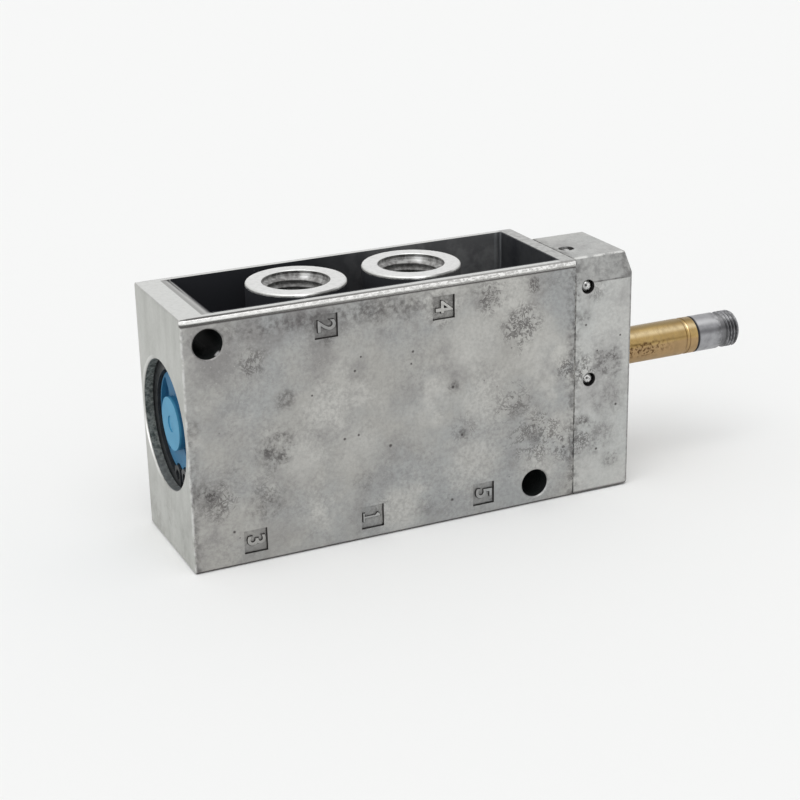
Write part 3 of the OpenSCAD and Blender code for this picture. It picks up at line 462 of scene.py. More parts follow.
def body_casting():
    """The body: cast skin, machined faces and rims, black pocket, bores and recesses darkened with dirt and
    painted shade, and painted highlights and reflections on the bead, pocket, rings and bores.
    """
    n, out = new_material("body_casting")
    v = n.place()
    x, y, z = n.split(v)
    side = n.math("ABSOLUTE", y)
    colour, rough, height = cast_surface(n, v, BODY_TONES, SMUDGES, CURLED, DOTS)
    patchy = n.mottle(v, 0.8, 0.4, 0.66)

    # dirt along the joint, darker patchy bands under the rim and by the cap end, and a painted contact shadow
    # at the foot
    joint = n.most(n.times(n.span(x, X_RIGHT - 2.6, X_RIGHT, smooth=False), patchy, 0.7),
                   n.times(n.span(x, X_RIGHT - 0.4, X_RIGHT - 0.1), n.number(patchy, 0.0, 0.8)))
    under_rim = n.times(edge_line(n, z, RIM_Z - 3.6, 3.4), n.span(x, X_LEFT - 12, X_LEFT + 20),
                        n.span(x, X_LEFT + 62, X_LEFT + 38, 0.35, 1.0), patchy, 0.65)
    cap_edge = n.times(n.span(x, X_LEFT + 2.4, X_LEFT + 0.2, smooth=False), patchy,
                       n.span(z, RIM_Z - 8, RIM_Z - 30), 0.65)
    foot_shadow = n.times(n.span(z, 0.6, 0.3), 0.8)
    colour = n.blend(n.most(joint, under_rim, cap_edge, foot_shadow), colour, GRIME_AND_SHADE)

    # milled cap end and top rim, brighter port rings
    end_face = n.span(x, X_LEFT + 0.3, X_LEFT + 0.05)
    rim = n.span(z, RIM_Z - 0.3, RIM_Z - 0.05)
    milled = n.most(end_face, rim)
    streaks = n.mottle(n.stretched(v, 1.0, 1.0, 0.3), 0.22, 0.3, 0.72)
    bright = n.blend(streaks, *END_TONES)
    bright = n.blend(n.times(rim, n.number(end_face, 1.0, 0.0)), bright, RIM_TONE)
    fine = n.mottle(v, 1.1, 0.4, 0.7)
    bright = n.blend(n.times(fine, 0.16), bright, (0.3, 0.3, 0.28))
    low_stain = n.times(n.span(z, 17.0, 4.0), n.mottle(v, 0.35, 0.46, 0.7), 0.45)
    bright = n.blend(low_stain, bright, (0.27, 0.26, 0.24))
    by_joint = n.times(rim, n.span(x, X_RIGHT - 3.6, X_RIGHT - 2.9), n.number(patchy, 0.45, 0.9))
    bright = n.blend(by_joint, bright, (0.36, 0.36, 0.35))
    ring = n.span(z, RIM_Z + 0.02, RIM_Z + 0.07)
    bright = n.blend(ring, bright, n.blend(fine, RING_TONE, (0.7, 0.7, 0.69)))
    colour = n.blend(milled, colour, bright)
    rough = n.number(milled, rough, 0.42)

    # the front corner at the cap end, lighter in patches
    corner = n.times(n.span(n.away(v, (X_LEFT, FRONT, 0), ACROSS_Z), 0.55, 0.2), n.mottle(v, 0.6, 0.4, 0.6))
    colour = n.blend(n.times(corner, 0.5), colour, RING_TONE)

    # rolled bead along the top edges, its light and shade painted: painted shade in the groove above it, a
    # painted highlight on its crown broken up by mottling, a flank painted in shade that is darkest towards
    # the cap end, and a painted shadow at its foot
    bead = n.times(n.span(z, RIM_Z - BEAD_H, RIM_Z - BEAD_H + 0.06), n.span(side, BACK - 0.46, BACK - 0.4))
    along = n.span(x, X_LEFT + 6, X_LEFT + 52, smooth=False)
    crown_highlight = n.times(n.span(z, RIM_Z - 0.1, RIM_Z - 0.28), n.span(z, RIM_Z - 1.05, RIM_Z - 0.62))
    spark = n.mottle(n.stretched(v, 0.6, 1.0, 1.0), 2.4, 0.42, 0.6)
    flank = n.blend(along, (0.13, 0.128, 0.122), (0.5, 0.495, 0.48))
    rolled = n.blend(crown_highlight, flank, (0.97, 0.965, 0.95))
    rolled = n.blend(n.times(spark, n.number(along, 0.25, 0.65)), rolled, (0.36, 0.355, 0.34))
    colour = n.blend(bead, colour, rolled)
    rough = n.number(bead, rough, 0.26)
    groove_shade = n.times(rim, n.span(side, BACK - 0.75, BACK - 0.45), n.span(x, X_LEFT + 0.8, X_LEFT + 1.8),
                    n.number(along, 0.72, 0.35), n.number(patchy, 1.0, 0.7))
    undercut_shadow = n.times(edge_line(n, z, RIM_Z - BEAD_H, 0.32), n.span(side, BACK - 0.3, BACK - 0.1), 0.92)
    colour = n.blend(n.most(groove_shade, undercut_shadow), colour, GRIME_AND_SHADE)

    # black pocket with bare port rings above it and a bare grey lip at the cap end
    lip_x = POCKET_LOW.x
    lip_start = lip_x - LIP_L - 0.6
    lip = n.times(n.span(x, lip_start, lip_start + 0.15), n.span(x, lip_x + 0.04, lip_x + 0.02),
                  n.span(z, RIM_Z - LIP_DROP - 0.1, RIM_Z - LIP_DROP - 0.02),
                  n.span(side, BACK - 1.6, BACK - 1.7))
    grey = n.blend(n.span(x, lip_start + 0.5, lip_start + 1.2), (0.36, 0.36, 0.35), (0.5, 0.5, 0.49))
    grey = n.blend(n.times(fine, 0.4), grey, (0.38, 0.38, 0.37))
    far_end = n.span(y, -3.0, 7.0)
    # darker towards the lip's inner edge, most at the front, with a dark line on it towards the back
    lip_darkening = n.most(n.times(n.span(x, lip_x - 1.1, lip_x - 0.3), n.number(far_end, 1.0, 0.3)),
                      n.times(edge_line(n, x, lip_x - 0.75, 0.5), far_end))
    grey = n.blend(n.times(lip_darkening, 0.85), grey, (0.05, 0.05, 0.052))
    colour = n.blend(lip, colour, grey)
    by_ring = n.most(*[n.effect("rod", Vector=v, Centre=p, Across=ACROSS_Z, Radius=BOSS_R + 0.3, Soft=0.05)
                       for p in TOP_PORTS])
    black_top = n.number(by_ring, RIM_Z + 0.03, RIM_Z - 0.55)
    pocket = n.times(n.effect("box", Vector=v, Low=POCKET_LOW - Vector((0.3, 0.5, 0.3)),
                              High=POCKET_HIGH + Vector((0.4, 0.15, 1.0)), Soft=0.06),
                     n.math("LESS_THAN", z, black_top))
    # painted reflections: the black lightens towards the right end, on the back wall and in streaks at the
    # back right corner
    cloudy = n.mottle(v, 0.12, 0.3, 0.6)
    black = n.blend(n.times(cloudy, n.span(x, X_LEFT + 30, X_LEFT + 62)),
                    (0.023, 0.024, 0.028), (0.045, 0.047, 0.05))
    back_wall_reflection = n.times(n.span(y, POCKET_HIGH.y - 0.5, POCKET_HIGH.y - 0.1),
                        n.span(x, X_LEFT + 32, X_LEFT + 62),
                        n.span(x, POCKET_HIGH.x - 0.2, POCKET_HIGH.x - 0.9),
                        n.number(n.mottle(v, 0.2, 0.4, 0.6), 0.55, 1.0))
    black = n.blend(back_wall_reflection, black, (0.15, 0.152, 0.155))
    scuff = n.times(n.effect("specks", Vector=v, Scale=0.4, Size=0.12, Share=0.2), 0.4)
    black = n.blend(scuff, black, (0.15, 0.15, 0.16))
    fade = n.times(n.number(n.mottle(n.stretched(v, 2.0, 2.0, 0.15), 0.6, 0.42, 0.6), 0.5, 1.0),
                   n.span(z, RIM_Z - 12, RIM_Z - 3, 0.35, 1.0))
    in_corner = n.span(x, POCKET_HIGH.x - 0.6, POCKET_HIGH.x - 0.3)
    corner_reflection = n.most(n.times(edge_line(n, x, POCKET_HIGH.x - 1.1, 0.45), n.span(y, 10.0, 11.5)),
                    n.times(edge_line(n, y, POCKET_HIGH.y - 0.45, 0.4), in_corner))
    black = n.blend(n.times(corner_reflection, fade, 0.8), black, (0.24, 0.25, 0.26))
    black = n.blend(n.times(by_ring, n.span(x, PORTS[3].x - 4, PORTS[3].x + 4)), black, (0.085, 0.085, 0.086))
    colour = n.blend(pocket, colour, black)
    # on the side of each top port ring: a painted dark reflection and a painted highlight
    ring_side = n.times(by_ring, n.span(z, RIM_Z - 0.6, RIM_Z - 0.5), n.span(z, RIM_Z + 0.06, RIM_Z))
    for port in TOP_PORTS:
        dark_reflection_at, highlight_at = port + Vector((2.5, -9.4, -0.3)), port + Vector((-2.6, -9.4, -0.3))
        dull = n.effect("patch", Vector=v, Centre=dark_reflection_at, Radius=3.6, Ragged=0.6)
        ring_highlight = n.effect("patch", Vector=v, Centre=highlight_at, Radius=1.5, Ragged=0.3)
        colour = n.blend(n.times(ring_side, dull, 0.75), colour, (0.12, 0.12, 0.118))
        colour = n.blend(n.times(ring_side, ring_highlight, 0.9), colour, (0.98, 0.98, 0.97))
    rough = n.number(pocket, rough, 0.6)

    # bores: machined threads painted darker with depth as shade and given painted glints, a dark greasy cap
    # bore painted near black past the circlip as shade with a painted highlight on its chamfer, and mounting
    # holes painted dark as shade
    bores = []
    for port in PORTS:
        inward = -1 if port.z > RIM_Z / 2 else 1
        bores.append(n.times(
            n.effect("rod", Vector=v, Centre=port, Across=ACROSS_Z, Radius=PORT_R + 0.15, Soft=0.1),
            n.span(z, port.z + 0.12 * inward, port.z + 0.2 * inward),
            n.span(z, port.z + 12 * inward, port.z + 11 * inward)))
    threads = n.most(*bores)
    # painted shade: the threads darken with depth; painted glints high on the far wall of the top ports
    shade = n.span(z, RIM_Z - 1.6, RIM_Z - 6.0, smooth=False)
    thread_grime_and_painted_light = n.blend(shade, (0.42, 0.42, 0.41), (0.02, 0.02, 0.019))
    thread_grime_and_painted_light = n.blend(n.times(n.mottle(n.stretched(v, 1.0, 1.0, 0.5), 1.1, 0.4, 0.6), 0.6), thread_grime_and_painted_light, GRIME_AND_SHADE)
    glint_off = Vector((4.1, 5.15, -0.8))
    glints = n.most(*[n.effect("patch", Vector=v, Centre=p + glint_off, Radius=1.7, Ragged=0.8)
                      for p in TOP_PORTS])
    thread_grime_and_painted_light = n.blend(n.times(glints, 0.9), thread_grime_and_painted_light, (0.95, 0.95, 0.94))
    colour = n.blend(threads, colour, thread_grime_and_painted_light)
    rough = n.number(threads, rough, 0.3)
    axis = (0, 0, SPOOL_Z)
    bore = n.times(n.effect("rod", Vector=v, Centre=axis, Across=ACROSS_X, Radius=CAP_BORE_R, Soft=0.05),
                   n.span(x, X_LEFT + 0.25, X_LEFT + 0.3),
                   n.span(x, X_LEFT + CAP_BORE_L, X_LEFT + CAP_BORE_L - 1))
    grease_and_shade = n.blend(n.mottle(v, 1.3, 0.36, 0.66), (0.06, 0.072, 0.069), (0.24, 0.26, 0.25))
    # past 1.75 mm in, painted near black as shade in the gap at the circlip
    grease_and_shade = n.blend(n.span(x, X_LEFT + 1.75, X_LEFT + 2.05), grease_and_shade, (0.01, 0.011, 0.012))
    wiped = n.times(n.span(z, 19.0, 13.5), n.span(x, X_LEFT + 1.9, X_LEFT + 1.6), 0.7)
    grease_and_shade = n.blend(wiped, grease_and_shade, (0.13, 0.135, 0.135))
    colour = n.blend(bore, colour, grease_and_shade)
    off = n.away(v, axis, ACROSS_X)
    # painted highlight on the back of the mouth chamfer
    chamfer_highlight = n.times(n.span(off, CAP_BORE_R - 0.5, CAP_BORE_R - 0.4),
                      n.span(off, CAP_BORE_R + 0.25, CAP_BORE_R + 0.1),
                      n.span(x, X_LEFT + 0.6, X_LEFT + 0.5), n.span(y, 2.0, 7.0),
                      n.number(edge_line(n, z, 19.5, 4.5), 0.25, 1.0))
    colour = n.blend(chamfer_highlight, colour, (0.97, 0.97, 0.96))
    # mounting holes painted near black as shade, with a painted glint in the first
    shaded_holes = n.most(*[n.effect("rod", Vector=v, Centre=p, Across=ACROSS_Y, Radius=MOUNT_R + 0.12, Soft=0.05)
                     for p in MOUNT_PLACES])
    shaded_holes = n.times(shaded_holes, n.span(side, BACK - 0.25, BACK - 0.32))
    colour = n.blend(shaded_holes, colour, (0.012, 0.014, 0.014))
    glint = n.effect("patch", Vector=v, Centre=MOUNT_PLACES[0] + Vector((1.9, FRONT + 0.7, -2.2)),
                     Radius=0.75, Ragged=0.3)
    colour = n.blend(n.times(glint, shaded_holes, 0.8), colour, (0.8, 0.8, 0.8))
    rough = n.number(n.most(bore, shaded_holes), rough, 0.5)

    # the number recesses: darker floors, and dirt with painted shade on their walls, thickest low and towards
    # the pilot end
    in_recess = n.span(y, FRONT + 0.05, FRONT + 0.1)
    fields, edges = [], []
    for _, place_x, place_z in NUMBER_PLACES:
        half = NUMBER_SIDE / 2
        low = Vector((place_x + NUMBER_SHIFT - half - 0.05, FRONT - 1, place_z - half - 0.05))
        high = Vector((place_x + NUMBER_SHIFT + half + 0.05, FRONT + 1.5, place_z + half + 0.05))
        fields.append(n.effect("box", Vector=v, Low=low, High=high, Soft=0.02))
        core = n.effect("box", Vector=v, Low=low + Vector((0.02, 0, 0.12)),
                        High=high - Vector((0.12, 0, 0.02)), Soft=0.12)
        edges.append(n.times(fields[-1], n.number(core, 1.0, 0.12)))
    sunk = n.times(n.most(*fields), in_recess, n.span(z, RIM_Z - 9, RIM_Z - 8, 0.15, 0.4))
    colour = n.blend(sunk, colour, (0.2, 0.195, 0.19))
    corner_dirt_and_shade = n.times(n.most(*edges), in_recess, n.number(patchy, 0.8, 1.0))
    colour = n.blend(corner_dirt_and_shade, colour, (0.04, 0.036, 0.035))

    even = n.most(milled, bead, pocket, threads)
    normal = n.bump(n.times(height, n.number(even, 1.0, 0.25)), 0.035)
    metal = n.number(n.most(pocket, shaded_holes, bore), CAST_METAL, 0.0)
    return n.surface(out, colour, rough, metal, Normal=normal, Specular_IOR_Level=0.12)


def digit_casting():
    """The raised port numbers: cast skin on their faces, dirt and painted shade on their flanks."""
    n, out = new_material("digit_casting")
    v = n.place()
    y = n.split(v)[1]
    colour, rough, height = cast_surface(n, v, BODY_TONES, SMUDGES[:1], CURLED[:1], DOTS[:1])
    face = FRONT + NUMBER_DEPTH - DIGIT_STAND
    flank = n.span(y, face + 0.015, face + 0.06)
    # dirt and painted shade on the flanks
    colour = n.blend(n.times(flank, 0.9), colour, (0.04, 0.036, 0.035))
    return n.surface(out, colour, rough, CAST_METAL, Normal=n.bump(height, 0.02))


def head_casting():
    """The pilot head: the same cast skin, a little lighter, dirtier by the joint and on its taper, with
    painted shade on the taper, in its crease, along its right end, at its foot and in the ball seats.
    """
    n, out = new_material("head_casting")
    v = n.place()
    x, y, z = n.split(v)
    colour, rough, height = cast_surface(n, v, HEAD_TONES, HEAD_SMUDGES, HEAD_CURLED, HEAD_DOTS)
    patchy = n.mottle(v, 0.8, 0.4, 0.66)
    joint = n.most(n.times(n.span(x, head_low.x + 1.8, head_low.x, smooth=False), patchy, 0.6),
                   n.times(n.span(x, head_low.x + 0.25, head_low.x), n.number(patchy, 0.0, 0.7)))
    taper_z = RIM_Z - TAPER_H
    front_side = n.span(y, FRONT + 1.6, FRONT + 1.3)
    taper = n.times(n.span(z, taper_z - 0.1, taper_z + 0.2), n.span(z, RIM_Z - 0.1, RIM_Z - 0.3), front_side)
    # the taper painted darker, as the shade of its slope, in patches
    colour = n.blend(n.times(taper, n.number(patchy, 0.45, 0.85)), colour, (0.26, 0.26, 0.255))
    soiled = n.times(taper, n.span(x, head_high.x - 4.5, head_high.x - 1.0),
                     n.mottle(v, 0.45, 0.4, 0.6), 0.55)
    # painted shade in the crease under the taper and along the rounded right end
    crease_shade = n.times(edge_line(n, z, taper_z, 0.26), front_side, n.number(patchy, 0.55, 0.95),
                     n.span(x, head_low.x + 3.4, head_low.x + 4.2))
    end_edge_shade = n.times(n.span(x, head_high.x - 0.9, head_high.x - 0.35), front_side,
                       n.number(patchy, 0.35, 0.7))
    colour = n.blend(n.most(joint, crease_shade, soiled, end_edge_shade), colour, GRIME_AND_SHADE)
    broken = n.mottle(v, 0.5, 0.44, 0.54)
    worn = n.times(edge_line(n, z, RIM_Z - 0.1, 0.3), n.span(y, FRONT + 2.0, FRONT + 1.6), broken)
    colour = n.blend(n.times(worn, 0.85), colour, (0.85, 0.85, 0.83))
    top_stain = n.times(n.span(z, RIM_Z - 0.05, RIM_Z - 0.01),
                        n.mottle(v, 0.3, 0.44, 0.68), 0.22)
    colour = n.blend(top_stain, colour, (0.24, 0.24, 0.235))
    # painted contact shadow along the bottom edge
    colour = n.blend(n.times(n.span(z, head_low.z + 0.6, head_low.z + 0.1), 0.85), colour, GRIME_AND_SHADE)
    # painted shade in the ball seats, heavier to the lower right, and inside the top ball's hole
    seat_shade = []
    for ball in BALL_PLACES:
        off_x, _, off_z = n.split(n.vector("SUBTRACT", v, ball))
        shaded = n.number(n.span(n.math("SUBTRACT", off_x, off_z), -1.6, 0.4), 0.25, 1.0)
        hole = n.effect("rod", Vector=v, Centre=ball, Across=ACROSS_Y, Radius=BALL_R + 0.14, Soft=0.1)
        seat_shade.append(n.times(hole, shaded))
    ends = n.span(n.math("ABSOLUTE", n.math("SUBTRACT", x, TOP_BALL.x)), 0.5, 1.1, 0.3, 1.0)
    top_hole = n.effect("rod", Vector=v, Centre=TOP_BALL, Across=ACROSS_Z, Radius=BALL_R + 0.3, Soft=0.15)
    top_seat_shade = n.times(top_hole, n.span(z, RIM_Z - 3.5, RIM_Z - 3.0), ends)
    dark = n.most(n.times(n.most(*seat_shade), front_side, 0.92), n.times(top_seat_shade, 0.9))
    colour = n.blend(dark, colour, (0.03, 0.028, 0.028))
    return n.surface(out, colour, rough, CAST_METAL, Normal=n.bump(height, 0.035))


def turned_metal(name, light, dark, rough, spots=0.0):
    """Drawn or turned metal with fine rings across its axis and a few stains."""
    n, out = new_material(name)
    v = n.place()
    rings = n.noise(n.stretched(v, 6.0, 0.05, 0.05), 1.0, 3.0)
    cloud = n.mottle(v, 0.35, 0.3, 0.72)
    colour = n.blend(cloud, light, dark)
    colour = n.blend(n.times(rings, 0.25), colour, dark)
    spot = n.times(n.mottle(v, 0.9, 0.58, 0.7), spots)
    colour = n.blend(spot, colour, (0.1, 0.05, 0.02))
    shine = n.number(n.most(cloud, spot), rough, rough + 0.16)
    return n.surface(out, colour, shine, 1.0, Normal=n.bump(rings, 0.006))


def ball_steel():
    """The plug balls, bruised by the punch that drove them in, each with a painted dark reflection at its
    upper left.
    """
    n, out = new_material("ball_steel")
    v = n.place()
    bruise = n.mottle(v, 2.2, 0.46, 0.56)
    colour = n.blend(n.times(bruise, 0.6), (0.72, 0.72, 0.71), (0.2, 0.2, 0.2))
    for ball in BALL_PLACES:
        # painted dark reflection at the upper left of each ball
        dark_reflection = n.effect("patch", Vector=v, Centre=ball + Vector((-0.4, 0.15, 0.3)), Radius=0.4, Ragged=0.3)
        colour = n.blend(dark_reflection, colour, (0.03, 0.03, 0.03))
    return n.surface(out, colour, 0.22, 1.0, Normal=n.bump(bruise, 0.02))


def tube_brass():
    """Drawn brass with brown spots low down near the head, a painted highlight band, and painted dark
    reflections along the top and the middle.
    """
    n, out = new_material("tube_brass")
    v = n.place()
    x, y, z = n.split(v)
    cloud = n.mottle(n.stretched(v, 0.3, 1.0, 1.0), 0.5, 0.3, 0.72)
    colour = n.blend(cloud, (0.53, 0.37, 0.15), (0.385, 0.255, 0.1))
    facing = n.span(y, 1.0, -1.0)
    # painted highlight band high on the front
    upper_highlight = n.times(edge_line(n, z, TUBE_Z + 2.9, 0.75), facing, 0.75)
    colour = n.blend(upper_highlight, colour, (0.85, 0.69, 0.42))
    # painted dark reflection along the top
    colour = n.blend(n.times(n.span(z, TUBE_Z + 3.45, TUBE_Z + 3.8), 0.6), colour, (0.2, 0.15, 0.07))
    # painted dark reflection line along the middle
    middle_reflection = n.times(edge_line(n, z, TUBE_Z + 1.15, 0.42), facing,
                     n.span(x, X_TUBE_END - 2, X_TUBE_END - 4),
                     n.number(n.mottle(v, 0.6, 0.4, 0.6), 0.35, 0.75))
    colour = n.blend(middle_reflection, colour, (0.13, 0.08, 0.025))
    dull = n.times(n.span(z, TUBE_Z + 1.0, TUBE_Z + 0.2), facing)
    colour = n.blend(n.times(dull, 0.7), colour, (0.42, 0.285, 0.16))
    low_side = n.times(n.span(z, TUBE_Z + 1.9, TUBE_Z + 0.9), n.span(z, TUBE_Z - 2.2, TUBE_Z - 0.8),
                       n.span(x, X_TUBE_END - 4, X_TUBE_END - 13), n.span(y, 0.0, -2.0))
    spots = n.times(low_side, n.most(n.mottle(v, 1.5, 0.5, 0.58),
                                     n.effect("specks", Vector=v, Scale=0.9, Size=0.3, Share=0.5)))
    worn = n.mottle(n.stretched(v, 1.6, 0.6, 0.6), 0.55, 0.42, 0.66)
    colour = n.blend(n.times(worn, 0.4), colour, (0.3, 0.21, 0.11))
    few = n.times(n.effect("specks", Vector=v, Scale=0.55, Size=0.17, Share=0.35), 0.8)
    colour = n.blend(n.times(n.most(spots, few), 0.85), colour, (0.08, 0.034, 0.014))
    root = n.times(n.span(x, head_high.x + 0.7, head_high.x + 0.1), 0.65)
    colour = n.blend(root, colour, (0.1, 0.05, 0.025))
    seam = n.most(edge_line(n, x, X_TUBE_END - SEAM_FROM_END - 0.45, 0.13),
                  edge_line(n, x, X_TUBE_END - SEAM_FROM_END + 0.45, 0.13))
    colour = n.blend(n.times(seam, 0.75), colour, (0.1, 0.05, 0.02))
    drawn = n.noise(n.stretched(v, 0.05, 3.0, 3.0), 1.0, 3.0)
    shine = n.number(n.most(n.times(cloud, 0.5), spots, dull), 0.22, 0.5)
    return n.surface(out, colour, shine, 1.0, Normal=n.bump(drawn, 0.008))


def core_steel():
    """Turned steel with a painted highlight band and a painted dark reflection band, blotched next to the
    thread and darker in its grooves.
    """
    n, out = new_material("core_steel")
    v = n.place()
    x, y, z = n.split(v)
    cloud = n.mottle(v, 0.5, 0.3, 0.72)
    colour = n.blend(cloud, (0.37, 0.37, 0.385), (0.26, 0.26, 0.27))
    facing = n.span(y, 1.0, -1.0)
    # painted highlight band and painted dark reflection band on the front
    upper_highlight = n.times(edge_line(n, z, TUBE_Z + 3.15, 0.8), facing, 0.7)
    colour = n.blend(upper_highlight, colour, (0.7, 0.7, 0.71))
    middle_reflection = n.times(edge_line(n, z, TUBE_Z + 1.5, 0.9), facing, 0.6)
    colour = n.blend(middle_reflection, colour, (0.09, 0.09, 0.095))
    collar = X_TUBE_END + RING_GAP
    colour = n.blend(n.times(n.span(x, collar + 0.25, collar + 0.05), 0.8), colour, (0.02, 0.02, 0.02))
    thread = X_TIP - THREAD_L
    blotch = n.times(n.span(x, thread - 2.6, thread - 0.6), n.mottle(v, 0.8, 0.42, 0.6))
    off = n.away(v, (0, 0, TUBE_Z), ACROSS_X)
    root = n.times(n.span(x, thread - 0.8, thread - 0.65), n.span(off, TUBE_R - 0.1, TUBE_R - 0.38))
    colour = n.blend(n.most(n.times(blotch, 0.55), n.times(root, 0.5)), colour, (0.045, 0.045, 0.045))
    rings = n.noise(n.stretched(v, 7.0, 0.05, 0.05), 1.0, 3.0)
    shine = n.number(n.most(cloud, blotch), 0.28, 0.45)
    return n.surface(out, colour, shine, 1.0, Normal=n.bump(rings, 0.008))


def cap_plastic():
    """Blue moulded plastic: the boss face painted lighter as lit, the parts further in painted darker as
    shade.
    """
    n, out = new_material("cap_plastic")
    v = n.place()
    x, y, z = n.split(v)
    cloud = n.mottle(v, 0.3, 0.3, 0.7)
    colour = n.blend(cloud, (0.03, 0.155, 0.285), (0.022, 0.12, 0.235))
    # the boss face painted lighter as lit; the parts further in painted darker as shade
    boss_lit = n.span(x, cap_low.x + 0.6, cap_low.x + 0.2)
    colour = n.blend(boss_lit, colour, n.blend(cloud, (0.07, 0.29, 0.46), (0.058, 0.255, 0.415)))
    deep_shade = n.span(x, cap_low.x + 1.9, cap_low.x + 2.4)
    colour = n.blend(n.times(deep_shade, 0.6), colour, (0.02, 0.09, 0.19))
    dust = n.times(n.effect("specks", Vector=v, Scale=0.9, Size=0.12, Share=0.25), 0.5)
    colour = n.blend(dust, colour, (0.03, 0.06, 0.1))
    normal = n.bump(n.noise(v, 2.2, 3.0), 0.012)
    return n.surface(out, colour, 0.5, Normal=normal, Specular_IOR_Level=0.25)


def soft_black(name, light, dark, rough, depth=0.01):
    """Rubber, fibre sheet or blackened steel: near black, with a fine skin."""
    n, out = new_material(name)
    v = n.place()
    cloud = n.mottle(v, 0.8, 0.3, 0.72)
    colour = n.blend(cloud, light, dark)
    shine = n.number(cloud, rough, rough + 0.12)
    return n.surface(out, colour, shine, Normal=n.bump(n.noise(v, 3.0, 3.0), depth))


def joint_sheet():
    """The gasket: dark fibre sheet, whose cut edge is smeared with the grey of the castings."""
    n, out = new_material("joint_sheet")
    v = n.place()
    x, y, z = n.split(v)
    cut_edge = n.most(n.math("GREATER_THAN", n.math("ABSOLUTE", y), BACK - 0.3),
                      n.math("GREATER_THAN", z, RIM_Z - 0.3))
    smear = n.times(n.mottle(v, 0.7, 0.38, 0.6), n.span(z, 1.0, 4.0), cut_edge)
    colour = n.blend(smear, (0.035, 0.034, 0.033), (0.27, 0.265, 0.25))
    return n.surface(out, colour, 0.7, Normal=n.bump(n.noise(v, 3.0, 3.0), 0.01))


def natural_acetal():
    """Off-white moulded plastic of the cages."""
    n, out = new_material("cage_plastic")
    v = n.place()
    cloud = n.mottle(v, 0.4, 0.3, 0.7)
    colour = n.blend(cloud, (0.72, 0.70, 0.63), (0.64, 0.62, 0.55))
    return n.surface(out, colour, 0.45, Normal=n.bump(n.noise(v, 2.5, 2.0), 0.008))


def paint(piece, material):
    piece.data.materials.clear()
    piece.data.materials.append(material)


def finish_frame():
    """Every node of the frame takes the finish of its own material slot."""
    finishes = {
        "body_casting": body_casting(),
        "head_casting": head_casting(),
        "gasket": joint_sheet(),
        "screw_steel": turned_metal("screw_steel", (0.5, 0.51, 0.53), (0.34, 0.35, 0.37), 0.3),
        "cap_plastic": cap_plastic(),
        "ring_steel": soft_black("ring_steel", (0.035, 0.038, 0.04), (0.012, 0.013, 0.014), 0.32, 0.006),
        "spring_steel": turned_metal("spring_steel", (0.6, 0.6, 0.62), (0.42, 0.42, 0.44), 0.25),
        "spool_aluminium": turned_metal("spool_aluminium", (0.72, 0.72, 0.73), (0.6, 0.6, 0.61), 0.25),
        "ball_steel": ball_steel(),
        "brass": turned_metal("brass", (0.68, 0.5, 0.22), (0.52, 0.36, 0.14), 0.26, 0.3),
        "tube_brass": tube_brass(),
        "black_ring": soft_black("black_ring", (0.02, 0.02, 0.02), (0.01, 0.01, 0.01), 0.45),
        "core_steel": core_steel(),
        "cage_plastic": natural_acetal(),
        "rubber": soft_black("rubber", (0.03, 0.03, 0.031), (0.014, 0.014, 0.015), 0.5),
    }
    for part in frame["record"]["subparts"]:
        paint(frame["nodes"][part["node"]], finishes[part["material_slot"]])
    return finishes


# Modelled pieces

def edit(action):
    """Goes into edit mode with everything selected, runs the action and comes back."""
    bpy.ops.object.mode_set(mode="EDIT")
    bpy.ops.mesh.select_all(action="SELECT")
    action()
    bpy.ops.object.mode_set(mode="OBJECT")


def drawn_loop(name, points):
    """A closed outline drawn point by point from one vertex; the list of points is in millimetres."""
    bpy.ops.object.select_all(action="DESELECT")
    bpy.ops.mesh.primitive_plane_add(size=MM)
    piece = bpy.context.object
    piece.name = name
    bpy.ops.object.mode_set(mode="EDIT")
    bpy.ops.mesh.merge(type="CENTER")
    last = Vector(points[0])
    bpy.ops.transform.translate(value=last * MM)
    for point in points[1:] + points[:1]:
        step = (Vector(point) - last) * MM
        bpy.ops.mesh.extrude_vertices_move(TRANSFORM_OT_translate={"value": step})
        last = Vector(point)
    bpy.ops.mesh.select_all(action="SELECT")
    bpy.ops.mesh.remove_doubles(threshold=0.001 * MM)
    bpy.ops.object.mode_set(mode="OBJECT")
    return piece


def close_shell():
    """Joins the seam and turns the faces outwards."""
    bpy.ops.mesh.remove_doubles(threshold=0.0005 * MM)
    bpy.ops.mesh.normals_make_consistent(inside=False)


def lathe_x(name, profile, steps=96):
    """A closed profile of (x, radius) points spun round the tube's axis."""
    piece = drawn_loop(name, [(x, 0, radius) for x, radius in profile])

    def spin():
        bpy.ops.mesh.spin(steps=steps, angle=2 * math.pi, center=(0, 0, 0), axis=(1, 0, 0))
        bpy.ops.mesh.select_all(action="SELECT")
        close_shell()

    edit(spin)
    return piece


def thread_ridge(name, profile, pitch, turns, steps=72):
    """A closed helical ridge about Z: the profile is a loop of (radius, height) points."""
    piece = drawn_loop(name, [(radius, 0, height) for radius, height in profile])
    screw = piece.modifiers.new("wind", "SCREW")
    screw.axis = "Z"
    screw.angle = 2 * math.pi * turns
    screw.screw_offset = pitch * turns * MM
    screw.iterations = 1
    screw.steps = int(steps * turns)
    screw.render_steps = screw.steps
    screw.use_smooth_shade = True
    bpy.ops.object.modifier_apply(modifier=screw.name)

    def cap_ends():
        bpy.ops.mesh.fill_holes(sides=len(profile))
        bpy.ops.mesh.select_all(action="SELECT")
        bpy.ops.mesh.normals_make_consistent(inside=False)

    edit(cap_ends)
    return piece


def settle(piece, matrix):
    """Moves a piece to its place in millimetres and leaves that place in its mesh."""
    piece.data.transform(Matrix.Scale(MM, 4) @ matrix @ Matrix.Scale(1 / MM, 4))
    piece.data.update()


